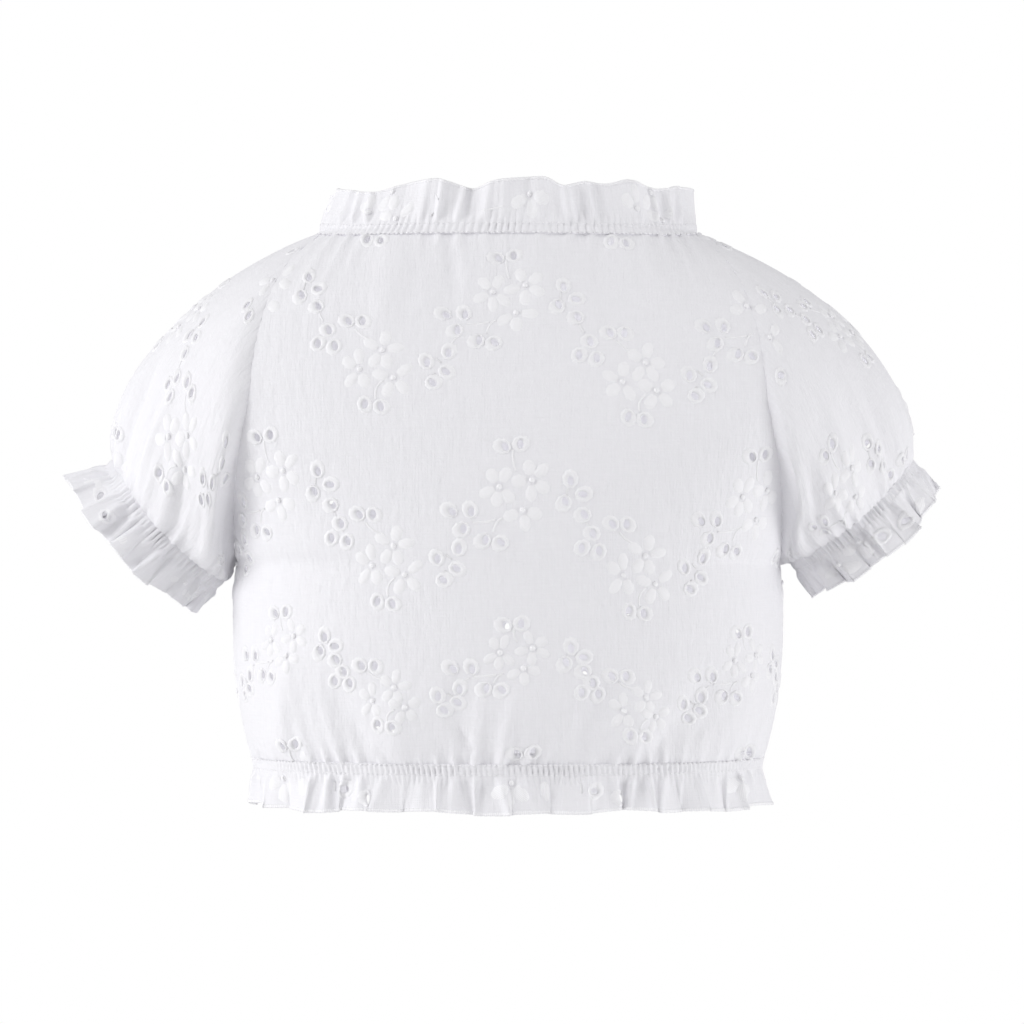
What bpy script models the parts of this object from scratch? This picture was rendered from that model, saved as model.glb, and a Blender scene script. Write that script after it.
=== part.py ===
"""A white cotton crop top with gathered, ruffled edges, in the hollow form that it has when it is worn.

Sizes are in millimetres, and MM turns them into metres. X runs across the garment with its left sleeve
at +X, the back faces +Y, and Z is up from the neck line. Each panel is laid out flat, as it is cut: x to
the right and y down, seen from outside. It is then wrapped on the worn form and given its wall.
"""

import math

import bmesh
import bpy
import numpy as np
from mathutils import Vector
from mathutils.geometry import delaunay_2d_cdt

MM = 0.001

# The cloth
WALL = 1.2
SEAM_GAP = 0.3
CLOTH_GRID = 16.0
SURFACE_STEPS = 160

# How finely the edges are divided: round each gathered line, and down the seams and the parted sleeves
NECK_COLUMNS = 72
HEM_COLUMNS = 96
CUFF_COLUMNS = 36
SEAM_POINTS = 14
SIDE_POINTS = 8
FOLD_POINTS = 13
INSIDE_OUTLINE = 1

# The neck line, round the wearer from the middle of the back: 0 degrees is the back, 90 the left side
NECK_HALF_WIDTH = 99.0
NECK_BACK = 72.0
NECK_FRONT = 78.0
NECK_MIDDLE_Y = -10.0
NECK_DROP = 22.0
BACK_SEAM_ANGLE = 80.0
FRONT_SEAM_ANGLE = 120.0

# The hem and the level where the seams meet under the arm, down from the neck line
UNDERARM_DROP = 176.0
HEM_DROP = 281.0

# The gathered channels and the ruffles beyond them
CHANNEL_HEIGHT = 5.0
CHANNEL_RISE = 0.7
GATHER_RISE = 0.5
RUFFLE_WALL = 1.5

# Each row is a level of the back: how far down it lies, where its seam or side is, how far back its middle
# is, and the angle that its curve has turned at the seam
BACK = {
    "columns": ("drop", "seam_x", "seam_y", "middle_y", "turn"),
    "rows": (
        (0.0, 97.5, 2.5, 62.0, 80.0),
        (16.0, 114.0, 30.0, 71.0, 67.0),
        (36.0, 124.0, 54.0, 82.0, 58.0),
        (66.0, 131.0, 71.0, 94.0, 54.0),
        (89.0, 133.5, 76.0, 100.0, 54.0),
        (108.0, 137.0, 74.0, 103.0, 58.0),
        (128.0, 141.0, 62.0, 104.0, 66.0),
        (150.0, 143.0, 40.0, 103.0, 77.0),
        (168.0, 143.8, 19.0, 102.0, 84.0),
        (176.0, 144.0, -4.0, 101.0, 90.0),
        (195.0, 146.0, -4.0, 99.0, 90.0),
        (216.0, 145.8, -4.0, 97.0, 90.0),
        (250.0, 142.6, -4.0, 93.0, 90.0),
        (267.0, 139.0, -4.0, 89.5, 90.0),
        (276.0, 136.0, -4.0, 86.5, 90.0),
        (281.0, 133.6, -4.0, 85.0, 90.0),
    ),
}

# The front in the same way; dip is how much lower its middle lies than its seam
FRONT = {
    "columns": ("drop", "seam_x", "seam_y", "middle_y", "turn", "dip"),
    "rows": (
        (7.8, 85.7, -49.0, -88.0, 60.0, 14.2),
        (27.0, 97.0, -63.0, -95.0, 56.0, 12.5),
        (50.0, 106.0, -74.0, -104.0, 54.0, 10.0),
        (76.0, 113.0, -81.0, -113.0, 54.0, 7.0),
        (100.0, 120.0, -82.0, -119.0, 56.0, 4.5),
        (125.0, 134.0, -71.0, -122.0, 64.0, 2.0),
        (150.0, 143.0, -48.0, -122.0, 77.0, 0.6),
        (168.0, 143.8, -27.0, -120.5, 84.0, 0.1),
        (176.0, 144.0, -4.0, -119.0, 90.0, 0.0),
        (195.0, 146.0, -4.0, -115.0, 90.0, 0.0),
        (216.0, 145.8, -4.0, -110.0, 90.0, 0.0),
        (250.0, 142.6, -4.0, -101.0, 90.0, 0.0),
        (267.0, 139.0, -4.0, -97.0, 90.0, 0.0),
        (276.0, 136.0, -4.0, -94.5, 90.0, 0.0),
        (281.0, 133.6, -4.0, -93.0, 90.0, 0.0),
    ),
}

# Each cuff's line, seen from behind: its outer and its inner end, across and down from the neck line
CUFFS = {
    "columns": ("side", "outer_x", "outer_drop", "inner_x", "inner_drop"),
    "rows": (
        (1.0, 208.5, 121.0, 151.5, 185.0),
        (-1.0, 213.5, 120.0, 150.5, 175.0),
    ),
}
CUFF_MIDDLE_Y = -5.0
CUFF_HALF_DEPTH = 41.5
CUFF_BOW = 5.0

# The puff of the sleeve, by the angle round it from the shoulder line: the way it leaves the seam, how
# strongly, and how much it bulges over the cuff
PUFF = {
    "columns": ("angle", "leave_x", "leave_y", "leave_z", "pull", "bulge"),
    "rows": (
        (0.0, 0.96, 0.00, -0.22, 1.25, 0.62),
        (45.0, 0.90, 0.24, -0.34, 1.14, 0.74),
        (90.0, 0.72, 0.42, -0.55, 1.00, 0.92),
        (135.0, 0.62, 0.56, -0.52, 1.10, 0.85),
        (160.0, 0.58, 0.40, -0.70, 1.10, 0.55),
        (180.0, 0.62, 0.00, -0.78, 0.90, 0.20),
    ),
}
SLEEVE_REACH = 0.49
SLEEVE_NECK_ANGLE = 45.0
SLEEVE_WIDTH = 420.0

# The largest folds of each panel: the middle of each, its lean from straight down, its length, its half
# width, and how far it stands out, or sinks in where that is negative
FOLD_COLUMNS = ("x", "y", "lean", "length", "half_width", "depth")
BACK_FOLDS = {
    "columns": FOLD_COLUMNS,
    "rows": (
        (-62.0, 34.0, 8.0, 60.0, 8.0, 1.6),
        (-30.0, 30.0, 3.0, 50.0, 8.0, -1.4),
        (16.0, 32.0, -4.0, 56.0, 9.0, 1.4),
        (48.0, 28.0, -8.0, 48.0, 8.0, -1.5),
        (80.0, 36.0, -14.0, 56.0, 8.0, 1.6),
        (-128.0, 262.0, 10.0, 60.0, 10.0, 2.6),
        (-84.0, 268.0, -24.0, 52.0, 8.0, -2.4),
        (-58.0, 272.0, -10.0, 44.0, 8.0, 2.4),
        (-26.0, 266.0, 6.0, 50.0, 8.0, -2.0),
        (4.0, 270.0, 12.0, 46.0, 9.0, 2.2),
        (40.0, 268.0, 28.0, 52.0, 8.0, -2.4),
        (66.0, 270.0, 10.0, 44.0, 8.0, 2.4),
        (96.0, 264.0, 32.0, 54.0, 8.0, -2.4),
        (132.0, 262.0, 14.0, 60.0, 10.0, 2.6),
    ),
}
FRONT_FOLDS = {
    "columns": FOLD_COLUMNS,
    "rows": (
        (-56.0, 26.0, 14.0, 50.0, 8.0, 1.5),
        (-22.0, 22.0, 4.0, 44.0, 8.0, -1.4),
        (12.0, 24.0, -3.0, 48.0, 9.0, 1.5),
        (44.0, 26.0, -12.0, 48.0, 8.0, -1.4),
        (-130.0, 243.0, -12.0, 56.0, 10.0, 2.6),
        (-92.0, 249.0, 10.0, 50.0, 9.0, -2.2),
        (-54.0, 251.0, -8.0, 46.0, 9.0, 2.4),
        (-16.0, 249.0, 5.0, 50.0, 9.0, -2.0),
        (24.0, 251.0, -6.0, 46.0, 9.0, 2.4),
        (62.0, 249.0, 8.0, 48.0, 9.0, -2.2),
        (98.0, 249.0, -10.0, 50.0, 9.0, 2.2),
        (134.0, 243.0, 12.0, 56.0, 10.0, 2.6),
    ),
}
SLEEVE_FOLDS = {
    "columns": FOLD_COLUMNS,
    "rows": (
        (-150.0, 170.0, 10.0, 50.0, 9.0, -2.4),
        (-118.0, 160.0, 6.0, 70.0, 10.0, 2.6),
        (-84.0, 156.0, 4.0, 80.0, 9.0, -2.4),
        (-50.0, 150.0, 3.0, 90.0, 10.0, 2.6),
        (-16.0, 154.0, 0.0, 80.0, 9.0, -2.2),
        (18.0, 150.0, -2.0, 86.0, 10.0, 2.6),
        (52.0, 154.0, -3.0, 84.0, 9.0, -2.6),
        (86.0, 156.0, -5.0, 80.0, 10.0, 2.6),
        (120.0, 162.0, -7.0, 66.0, 9.0, -2.4),
        (150.0, 170.0, -10.0, 48.0, 9.0, 2.2),
    ),
}
FOLD_FADE = 14.0

# The embroidery's repeat: clusters in zigzag rows, and the holes cut through in each, from its middle
REPEAT_WIDTH = 139.0
REPEAT_HEIGHT = 99.0
ROW_SHIFT = 3.5
LOW_CLUSTER_DROP = 43.0
HOLE_HALF_LENGTH = 2.6
HOLE_HALF_WIDTH = 1.8
HIGH_HOLES = {
    "columns": ("x", "y", "lean"),
    "rows": (
        (-3.1, -22.0, -35.0),
        (4.6, -23.4, 0.0),
        (-13.1, 25.5, 10.0),
        (-5.2, 26.7, -50.0),
        (30.2, -4.6, -10.0),
        (37.4, 12.5, -35.0),
    ),
}
LOW_HOLES = {
    "columns": ("x", "y", "lean"),
    "rows": (
        (-15.6, -24.6, -35.0),
        (-8.3, -24.6, 0.0),
        (-6.6, 20.1, 15.0),
        (1.6, 21.4, -15.0),
        (25.5, -1.8, 0.0),
        (-31.7, -12.4, 0.0),
    ),
}
HOLE_EDGE = 6.0

# Each cloth's first cluster: across from its middle, and down from its top
BACK_START = (-4.0, 44.7)
FRONT_START = (30.0, 62.0)
SLEEVE_START = (20.0, 60.0)

# The ruffles: how tall, how many waves and how deep, where the first wave begins, how many faces round, and
# how far they lean out for their height, in the middle and as it changes towards the left side
RUFFLES = {
    "columns": ("name", "height", "waves", "depth", "turn", "faces", "lean", "lean_change"),
    "rows": (
        ("neck_ruffle", 20.0, 16, 2.2, 0.6, 96, -0.27, -0.12),
        ("hem_ruffle", 16.5, 22, 2.6, 1.7, 132, 0.24, -0.10),
    ),
}
RUFFLE_START_DEPTH = 0.15
RUFFLE_UNEVEN_HEIGHT = 1.2

# The cuffs' ruffles: by side, where the first wave begins and how far they lean out at the outer end
CUFF_RUFFLE_FACES = 65
CUFF_RUFFLE_WAVES = 13
CUFF_RUFFLE_DEPTH = 2.2
CUFF_RUFFLE_HEIGHT = 19.5
CUFF_RUFFLE_UNDER_HEIGHT = 15.0
CUFF_RUFFLE_TURN = {1.0: 1.5, -1.0: -0.7}
CUFF_FLARE_OUTER = {1.0: 0.45, -1.0: -0.08}
CUFF_FLARE_UNDER = 0.04


def hermite(start, end, leave, arrive, t):
    """The point at t, from 0 to 1, on the curve between two points with the given end directions."""
    square = t * t
    cube = square * t
    ahead = 3.0 * square - 2.0 * cube
    return start * (1.0 - ahead) + end * ahead + leave * (cube - 2.0 * square + t) + arrive * (cube - square)


def read(table, column, at):
    """A column of a table at each value of its first column, smooth and never past its rows."""
    rows = np.array(table["rows"], dtype=float)
    keys = rows[:, 0]
    values = rows[:, table["columns"].index(column)]
    secants = np.diff(values) / np.diff(keys)
    level = secants[1:] * secants[:-1] > 0.0
    total = np.where(level, secants[1:] + secants[:-1], 1.0)
    inner = np.where(level, 2.0 * secants[1:] * secants[:-1] / total, 0.0)
    slopes = np.concatenate([secants[:1], inner, secants[-1:]])
    row = np.clip(np.searchsorted(keys, at, side="right") - 1, 0, len(keys) - 2)
    span = keys[row + 1] - keys[row]
    t = np.clip((at - keys[row]) / span, 0.0, 1.0)
    return hermite(values[row], values[row + 1], slopes[row] * span, slopes[row + 1] * span, t)


def unit(vectors):
    """The vectors at length one."""
    return vectors / np.maximum(np.linalg.norm(vectors, axis=-1, keepdims=True), 1e-9)


def lengths_along(points):
    """The distance to each point from the first one, along the first axis of the array."""
    steps = np.linalg.norm(np.diff(points, axis=0), axis=-1)
    return np.concatenate([np.zeros_like(steps[:1]), np.cumsum(steps, axis=0)])


def lookup(grid, across, down):
    """The grid's value at fractions of its columns and rows, between the four nearest points."""
    last_row = grid.shape[0] - 1
    last_column = grid.shape[1] - 1
    row = np.clip(down, 0.0, 1.0) * last_row
    column = np.clip(across, 0.0, 1.0) * last_column
    top = np.minimum(row.astype(int), last_row - 1)
    left = np.minimum(column.astype(int), last_column - 1)
    b = (row - top)[..., None]
    a = (column - left)[..., None]
    upper = grid[top, left] * (1.0 - a) + grid[top, left + 1] * a
    lower = grid[top + 1, left] * (1.0 - a) + grid[top + 1, left + 1] * a
    return upper * (1.0 - b) + lower * b


def neck_height(angle):
    """The height of the neck line, which dips from the back seam round to the middle of the front."""
    from_back = np.abs((np.asarray(angle) + 180.0) % 360.0 - 180.0)
    t = np.clip((from_back - BACK_SEAM_ANGLE) / (180.0 - BACK_SEAM_ANGLE), 0.0, 1.0)
    return -NECK_DROP * t * t * (3.0 - 2.0 * t)


def neck_line(angle):
    """A point of the neck line."""
    turn = np.radians(angle)
    depth = np.where(np.cos(turn) > 0.0, NECK_BACK, NECK_FRONT)
    x = NECK_HALF_WIDTH * np.sin(turn)
    y = NECK_MIDDLE_Y + depth * np.cos(turn)
    return np.stack([x, y, neck_height(angle)], axis=-1)


def hem_line(angle):
    """A point of the hem line, between the back and the front panel's last rows."""
    turn = np.radians(angle)
    side_x = BACK["rows"][-1][1]
    side_y = BACK["rows"][-1][2]
    back = BACK["rows"][-1][3] - side_y
    front = side_y - FRONT["rows"][-1][3]
    depth = np.where(np.cos(turn) > 0.0, back, front)
    height = np.full_like(turn, -HEM_DROP)
    return np.stack([side_x * np.sin(turn), side_y + depth * np.cos(turn), height], axis=-1)


class Cuff:
    """The line where one sleeve is gathered, laid out as on the left side."""

    def __init__(self, side):
        row = next(row for row in CUFFS["rows"] if row[0] == side)
        outer = np.array((row[1], CUFF_MIDDLE_Y, -row[2]))
        inner = np.array((row[3], CUFF_MIDDLE_Y, -row[4]))
        self.middle = (outer + inner) / 2.0
        self.half_length = np.linalg.norm(outer - inner) / 2.0
        self.outward = (outer - inner) / (2.0 * self.half_length)
        self.way = np.array((self.outward[2], 0.0, -self.outward[0]))

    def line(self, angle):
        """A point of the line; 0 degrees is its outer end and 90 its back."""
        turn = np.radians(angle)[..., None]
        depth = np.array((0.0, CUFF_HALF_DEPTH, 0.0))
        ring = self.outward * self.half_length * np.cos(turn) + depth * np.sin(turn)
        return self.middle + ring + self.way * CUFF_BOW * np.sin(turn) ** 2


def body_point(table, across, drop):
    """A point of the back or front; across runs from -1 to 1 between its seams."""
    turn = np.radians(read(table, "turn", drop))
    angle = across * turn
    seam_y = read(table, "seam_y", drop)
    middle_y = read(table, "middle_y", drop)
    x = read(table, "seam_x", drop) * np.sin(angle) / np.sin(turn)
    y = middle_y - (middle_y - seam_y) * (1.0 - np.cos(angle)) / (1.0 - np.cos(turn))
    z = -drop
    if "dip" in table["columns"]:
        middle = neck_height(180.0)
        seam = neck_height(FRONT_SEAM_ANGLE)
        here = neck_height(180.0 - np.abs(across) * (180.0 - FRONT_SEAM_ANGLE))
        z = z - read(table, "dip", drop) * (here - seam) / (middle - seam)
    return np.stack([x, y, z], axis=-1)


def seam_drops(table, count):
    """Levels evenly spaced along a raglan seam, from the neck to the underarm."""
    drops = np.linspace(table["rows"][0][0], UNDERARM_DROP, 200)
    along = lengths_along(body_point(table, np.ones_like(drops), drops))
    return np.interp(np.linspace(0.0, along[-1], count), along, drops)


def even_columns(points):
    """The same rows of points, each spaced evenly along its length, and the rows' lengths."""
    spaced = np.empty_like(points)
    widths = np.empty(len(points))
    for row, line in enumerate(points):
        along = lengths_along(line)
        widths[row] = along[-1]
        even = np.linspace(0.0, along[-1], len(line))
        for axis in range(3):
            spaced[row, :, axis] = np.interp(even, along, line[:, axis])
    return spaced, widths


def grid_normals(points):
    """The normals of a grid of points whose columns run to the right and rows down, seen from outside."""
    down = np.gradient(points, axis=0)
    right = np.gradient(points, axis=1)
    return unit(np.cross(down, right))


def fold_height(folds, x, y):
    """How far the folds lift the cloth at flat points; each fades out at its sides and its ends."""
    height = np.zeros_like(x)
    for middle_x, middle_y, lean, length, half_width, depth in folds["rows"]:
        turn = math.radians(lean)
        beside = (x - middle_x) * math.cos(turn) + (y - middle_y) * math.sin(turn)
        along = (y - middle_y) * math.cos(turn) - (x - middle_x) * math.sin(turn)
        height += depth * np.exp(-((beside / half_width) ** 2) - (2.0 * along / length) ** 4)
    return height


class BodyPanel:
    """The back or the front, from its flat layout to its place on the worn form."""

    def __init__(self, table, folds, facing):
        self.table = table
        self.folds = folds
        first = table["rows"][0][0]
        self.drops = np.linspace(first, HEM_DROP, SURFACE_STEPS)
        across = -facing * np.linspace(-1.0, 1.0, SURFACE_STEPS + 1)
        levels = np.repeat(self.drops[:, None], across.size, axis=1)
        points = body_point(table, across[None, :], levels)
        self.down = lengths_along(points[:, SURFACE_STEPS // 2])
        self.grid, widths = even_columns(points)
        self.half_widths = widths / 2.0
        self.normals = grid_normals(self.grid)
        self.length = self.down[-1]

    def half_width(self, y):
        return np.interp(y, self.down, self.half_widths)

    def level(self, drop):
        """The flat y of a level of the body."""
        return np.interp(drop, self.drops, self.down)

    def fractions(self, x, y):
        rows = np.linspace(0.0, 1.0, self.down.size)
        return 0.5 + 0.5 * x / self.half_width(y), np.interp(y, self.down, rows)

    def normal(self, x, y):
        return unit(lookup(self.normals, *self.fractions(x, y)))

    def place(self, x, y):
        clear = np.minimum(np.minimum(y, self.length - y), self.half_width(y) - np.abs(x))
        lift = fold_height(self.folds, x, y) * np.clip(clear / FOLD_FADE, 0.0, 1.0)
        return lookup(self.grid, *self.fractions(x, y)) + self.normal(x, y) * lift[:, None]

    def outline(self):
        """The flat outline, anticlockwise, with the points that its neighbours share."""
        gap = SEAM_GAP / 2.0
        above = self.level(seam_drops(self.table, SEAM_POINTS))
        below = self.level(np.linspace(UNDERARM_DROP, HEM_DROP, SIDE_POINTS))
        side_y = np.concatenate([above, below[1:]])
        side_y[0] += gap
        side_y[-1] -= gap
        side_x = self.half_width(side_y) - gap
        neck = np.linspace(-1.0, 1.0, self.neck_columns() + 1)[1:-1] * side_x[0]
        hem = np.linspace(1.0, -1.0, HEM_COLUMNS // 2 + 1)[1:-1] * side_x[-1]
        right = list(zip(side_x, side_y))
        left = list(zip(-side_x[::-1], side_y[::-1]))
        top = [(x, side_y[0]) for x in neck]
        bottom = [(x, side_y[-1]) for x in hem]
        return top + right + bottom + left

    def neck_columns(self):
        if self.table is BACK:
            return round(2.0 * BACK_SEAM_ANGLE * NECK_COLUMNS / 360.0)
        return round((360.0 - 2.0 * FRONT_SEAM_ANGLE) * NECK_COLUMNS / 360.0)

    def inside(self, x, y, margin):
        return margin < y < self.length - margin and abs(x) < self.half_width(y) - margin


class Sleeve:
    """One sleeve, from its flat layout to its place on the worn form."""

    def __init__(self, side):
        self.side = side
        angles = np.linspace(-180.0, 180.0, 2 * SURFACE_STEPS + 1)
        starts = np.array([self.armhole(angle) for angle in angles])
        cuff = Cuff(side)
        ends = cuff.line(angles)
        size = np.abs(angles)
        leave = np.stack([read(PUFF, name, size) for name in ("leave_x", "leave_y", "leave_z")], axis=-1)
        leave[:, 1] *= np.sign(angles)
        span = np.linalg.norm(ends - starts, axis=-1, keepdims=True)
        leave = unit(leave) * span * read(PUFF, "pull", size)[:, None]
        bow = cuff.way * CUFF_BOW * np.sin(np.radians(angles))[:, None] ** 2
        outward = unit(ends - cuff.middle - bow)
        bulge = read(PUFF, "bulge", size)[:, None]
        arrive = span * (cuff.way * SLEEVE_REACH - outward * bulge)
        t = np.linspace(0.0, 1.0, SURFACE_STEPS)[None, :, None]
        lines = hermite(starts[:, None], ends[:, None], leave[:, None], arrive[:, None], t)
        spaced, self.lengths = even_columns(lines)
        self.angles = angles
        self.length = self.lengths[SURFACE_STEPS]
        self.grid = spaced.transpose(1, 0, 2)
        self.normals = grid_normals(self.grid)
        fold = unit(self.normals[:, 0] + self.normals[:, -1])
        self.normals[:, 0] = fold
        self.normals[:, -1] = fold

    @staticmethod
    def armhole(angle):
        """A point of the line where the sleeve begins: the neck line, then a raglan seam."""
        size = abs(angle)
        if size <= SLEEVE_NECK_ANGLE:
            middle = (BACK_SEAM_ANGLE + FRONT_SEAM_ANGLE) / 2.0
            half = (FRONT_SEAM_ANGLE - BACK_SEAM_ANGLE) / 2.0
            return neck_line(middle - half * angle / SLEEVE_NECK_ANGLE)
        table = BACK if angle > 0.0 else FRONT
        drops = SEAM_LEVELS["back" if angle > 0.0 else "front"]
        share = (size - SLEEVE_NECK_ANGLE) / (180.0 - SLEEVE_NECK_ANGLE)
        drop = np.interp(share, np.linspace(0.0, 1.0, drops.size), drops)
        return body_point(table, 1.0, drop)

    def angle(self, x):
        return self.side * x * 360.0 / SLEEVE_WIDTH

    def top(self, x):
        """The flat y where the sleeve begins at this x."""
        return self.length - np.interp(self.angle(x), self.angles, self.lengths)

    def fractions(self, x, y):
        angle = self.angle(x)
        long = np.interp(angle, self.angles, self.lengths)
        return 0.5 + angle / 360.0, 1.0 - (self.length - y) / long

    def mirrored(self, vectors):
        return vectors * np.array((self.side, 1.0, 1.0))

    def normal(self, x, y):
        return self.mirrored(unit(lookup(self.normals, *self.fractions(x, y))))

    def place(self, x, y):
        clear = np.minimum(y - self.top(x), self.length - y)
        lift = fold_height(SLEEVE_FOLDS, x, y) * np.clip(clear / FOLD_FADE, 0.0, 1.0)
        return self.mirrored(lookup(self.grid, *self.fractions(x, y))) + self.normal(x, y) * lift[:, None]

    def outline(self, half):
        """The flat outline of the back half, 1, or the front half, -1, with the points it shares."""
        gap = SEAM_GAP / 2.0
        neck_count = round((FRONT_SEAM_ANGLE - BACK_SEAM_ANGLE) * NECK_COLUMNS / 720.0)
        neck = np.linspace(0.0, SLEEVE_NECK_ANGLE, neck_count + 1)
        seam = np.linspace(SLEEVE_NECK_ANGLE, 180.0, SEAM_POINTS)
        edge = np.concatenate([neck, seam[1:]])
        scale = half * self.side * SLEEVE_WIDTH / 360.0
        top_x = edge * scale
        top_y = self.top(top_x) + gap
        top_x[0] += gap * half * self.side
        top_x[-1] -= gap * half * self.side
        cuff = np.linspace(180.0, 0.0, CUFF_COLUMNS // 2 + 1) * scale
        cuff[0] -= gap * half * self.side
        cuff[-1] += gap * half * self.side
        fold_y = np.linspace(self.length - gap, top_y[0], FOLD_POINTS)[1:-1]
        points = list(zip(top_x, top_y))
        points += [(x, self.length - gap) for x in cuff]
        points += [(cuff[-1], y) for y in fold_y]
        return points

    def inside(self, x, y, half, margin):
        away = half * self.side * x
        if not margin < away < SLEEVE_WIDTH / 2.0 - margin:
            return False
        slant = max(abs(self.top(x + 1.0) - self.top(x - 1.0)) / 2.0, 0.0)
        return self.top(x) + margin * math.hypot(1.0, slant) < y < self.length - margin


SEAM_LEVELS = {"back": seam_drops(BACK, 100), "front": seam_drops(FRONT, 100)}


def cluster_places(start_x, start_y, width, length):
    """The middle of each cluster on a panel of this flat size, with the holes that it has."""
    places = []
    columns = math.ceil(width / REPEAT_WIDTH) + 1
    for row in range(-2, math.ceil(length / REPEAT_HEIGHT) + 1):
        for column in range(-columns, columns + 1):
            x = start_x + column * REPEAT_WIDTH + row * ROW_SHIFT
            y = start_y + row * REPEAT_HEIGHT
            places.append((x, y, HIGH_HOLES))
            places.append((x + REPEAT_WIDTH / 2.0, y + LOW_CLUSTER_DROP, LOW_HOLES))
    return places


def hole_outline(x, y, lean):
    """The six corners of one eyelet hole."""
    turn = math.radians(lean)
    corners = []
    for step in range(6):
        angle = math.radians(60.0 * step)
        along = HOLE_HALF_LENGTH * math.cos(angle)
        beside = HOLE_HALF_WIDTH * math.sin(angle)
        corner_x = x + beside * math.cos(turn) + along * math.sin(turn)
        corner_y = y + beside * math.sin(turn) - along * math.cos(turn)
        corners.append((corner_x, corner_y))
    return corners


def holes_on(places, inside):
    """The outlines of the holes that lie well inside a panel."""
    holes = []
    for middle_x, middle_y, table in places:
        for x, y, lean in table["rows"]:
            if inside(middle_x + x, middle_y + y, HOLE_EDGE):
                holes.append(hole_outline(middle_x + x, middle_y + y, lean))
    return holes


def grid_points(width, length, inside, holes):
    """Evenly spaced points inside a panel, clear of its edges and its holes."""
    middles = [(sum(p[0] for p in hole) / 6.0, sum(p[1] for p in hole) / 6.0) for hole in holes]
    points = []
    rows = round(length / CLOTH_GRID)
    columns = math.ceil(width / 2.0 / CLOTH_GRID)
    for row in range(1, rows):
        y = row * length / rows
        for column in range(-columns, columns + 1):
            x = (column + 0.5 * (row % 2)) * CLOTH_GRID
            near = any(math.hypot(x - hx, y - hy) < CLOTH_GRID * 0.55 for hx, hy in middles)
            if inside(x, y, CLOTH_GRID * 0.4) and not near:
                points.append((x, y))
    return points


def flat_sheet(outline, holes, points):
    """A flat mesh of triangles inside an outline, with holes."""
    corners = []
    edges = []
    loop_of_corner = []
    for number, loop in enumerate([outline] + holes):
        first = len(corners)
        count = len(loop)
        corners += loop
        loop_of_corner += [number] * count
        edges += [(first + i, first + (i + 1) % count) for i in range(count)]
    corners += points
    loop_of_corner += [0] * len(points)
    made = delaunay_2d_cdt([Vector(p) for p in corners], edges, [], INSIDE_OUTLINE, 1e-6)
    loops = [loop_of_corner[sources[0]] for sources in made[3]]
    bm = bmesh.new()
    verts = [bm.verts.new((p.x, p.y, 0.0)) for p in made[0]]
    for face in made[2]:
        round_it = {loops[i] for i in face}
        if len(round_it) > 1 or 0 in round_it:
            bm.faces.new([verts[i] for i in face])
    return bm


def thicken(bm):
    """Gives a flat mesh a second layer at height 1, joined to it round every edge."""
    made = bmesh.ops.extrude_face_region(bm, geom=bm.faces[:], use_keep_orig=True)
    for item in made["geom"]:
        if isinstance(item, bmesh.types.BMVert):
            item.co.z = 1.0


def finish_piece(name, bm, material):
    """Makes the object of one piece from its finished mesh, which is in millimetres."""
    bmesh.ops.scale(bm, vec=(MM, MM, MM), verts=bm.verts)
    bmesh.ops.triangulate(bm, faces=bm.faces[:])
    bmesh.ops.recalc_face_normals(bm, faces=bm.faces[:])
    mesh = bpy.data.meshes.new(name)
    bm.to_mesh(mesh)
    bm.free()
    mesh.materials.append(material)
    mesh.shade_smooth()
    mesh.set_sharp_from_angle(angle=math.radians(60.0))
    piece = bpy.data.objects.new(name, mesh)
    bpy.context.scene.collection.objects.link(piece)
    return piece


def wrap_panel(bm, place, normal):
    """Moves a thickened flat mesh onto the worn form; layer 0 is the inside of the wall."""
    flat = np.array([tuple(v.co) for v in bm.verts])
    points = place(flat[:, 0], flat[:, 1])
    inward = normal(flat[:, 0], flat[:, 1]) * (WALL * (1.0 - flat[:, 2]))[:, None]
    for vert, point in zip(bm.verts, points - inward):
        vert.co = point


def make_body_panel(name, panel, start, material):
    """The back or the front, with the largest eyelets of each repeat cut through."""
    width = 2.0 * panel.half_widths.max()
    places = cluster_places(start[0], start[1], width, panel.length)
    holes = holes_on(places, panel.inside)
    points = grid_points(width, panel.length, panel.inside, holes)
    bm = flat_sheet(panel.outline(), holes, points)
    thicken(bm)
    wrap_panel(bm, panel.place, panel.normal)
    return finish_piece(name, bm, material)


def make_sleeve_half(name, sleeve, half, start, material):
    """The back or front half of a sleeve, parted along the shoulder line and under the arm."""
    def inside(x, y, margin):
        return sleeve.inside(x, y, half, margin)

    places = cluster_places(start[0], start[1], SLEEVE_WIDTH, sleeve.length)
    holes = holes_on(places, inside)
    points = grid_points(SLEEVE_WIDTH, sleeve.length, inside, holes)
    bm = flat_sheet(sleeve.outline(half), holes, points)
    thicken(bm)
    wrap_panel(bm, sleeve.place, sleeve.normal)
    return finish_piece(name, bm, material)


def ring_sheet(columns, rows):
    """A flat ring of faces round the origin, from radius 1 to radius 2."""
    bm = bmesh.new()
    line = [bm.verts.new((1.0 + row / rows, 0.0, 0.0)) for row in range(rows + 1)]
    edges = [bm.edges.new(pair) for pair in zip(line, line[1:])]
    bmesh.ops.spin(
        bm,
        geom=line + edges,
        cent=(0.0, 0.0, 0.0),
        axis=(0.0, 0.0, 1.0),
        angle=math.tau,
        steps=columns,
        use_merge=True,
    )
    return bm


def ring_normals(line, angles, way):
    """The outward directions of a closed line, square to it and to the way that the cloth leaves it."""
    step = 0.5
    along = line(angles + step) - line(angles - step)
    return unit(np.cross(along, way))


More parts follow.
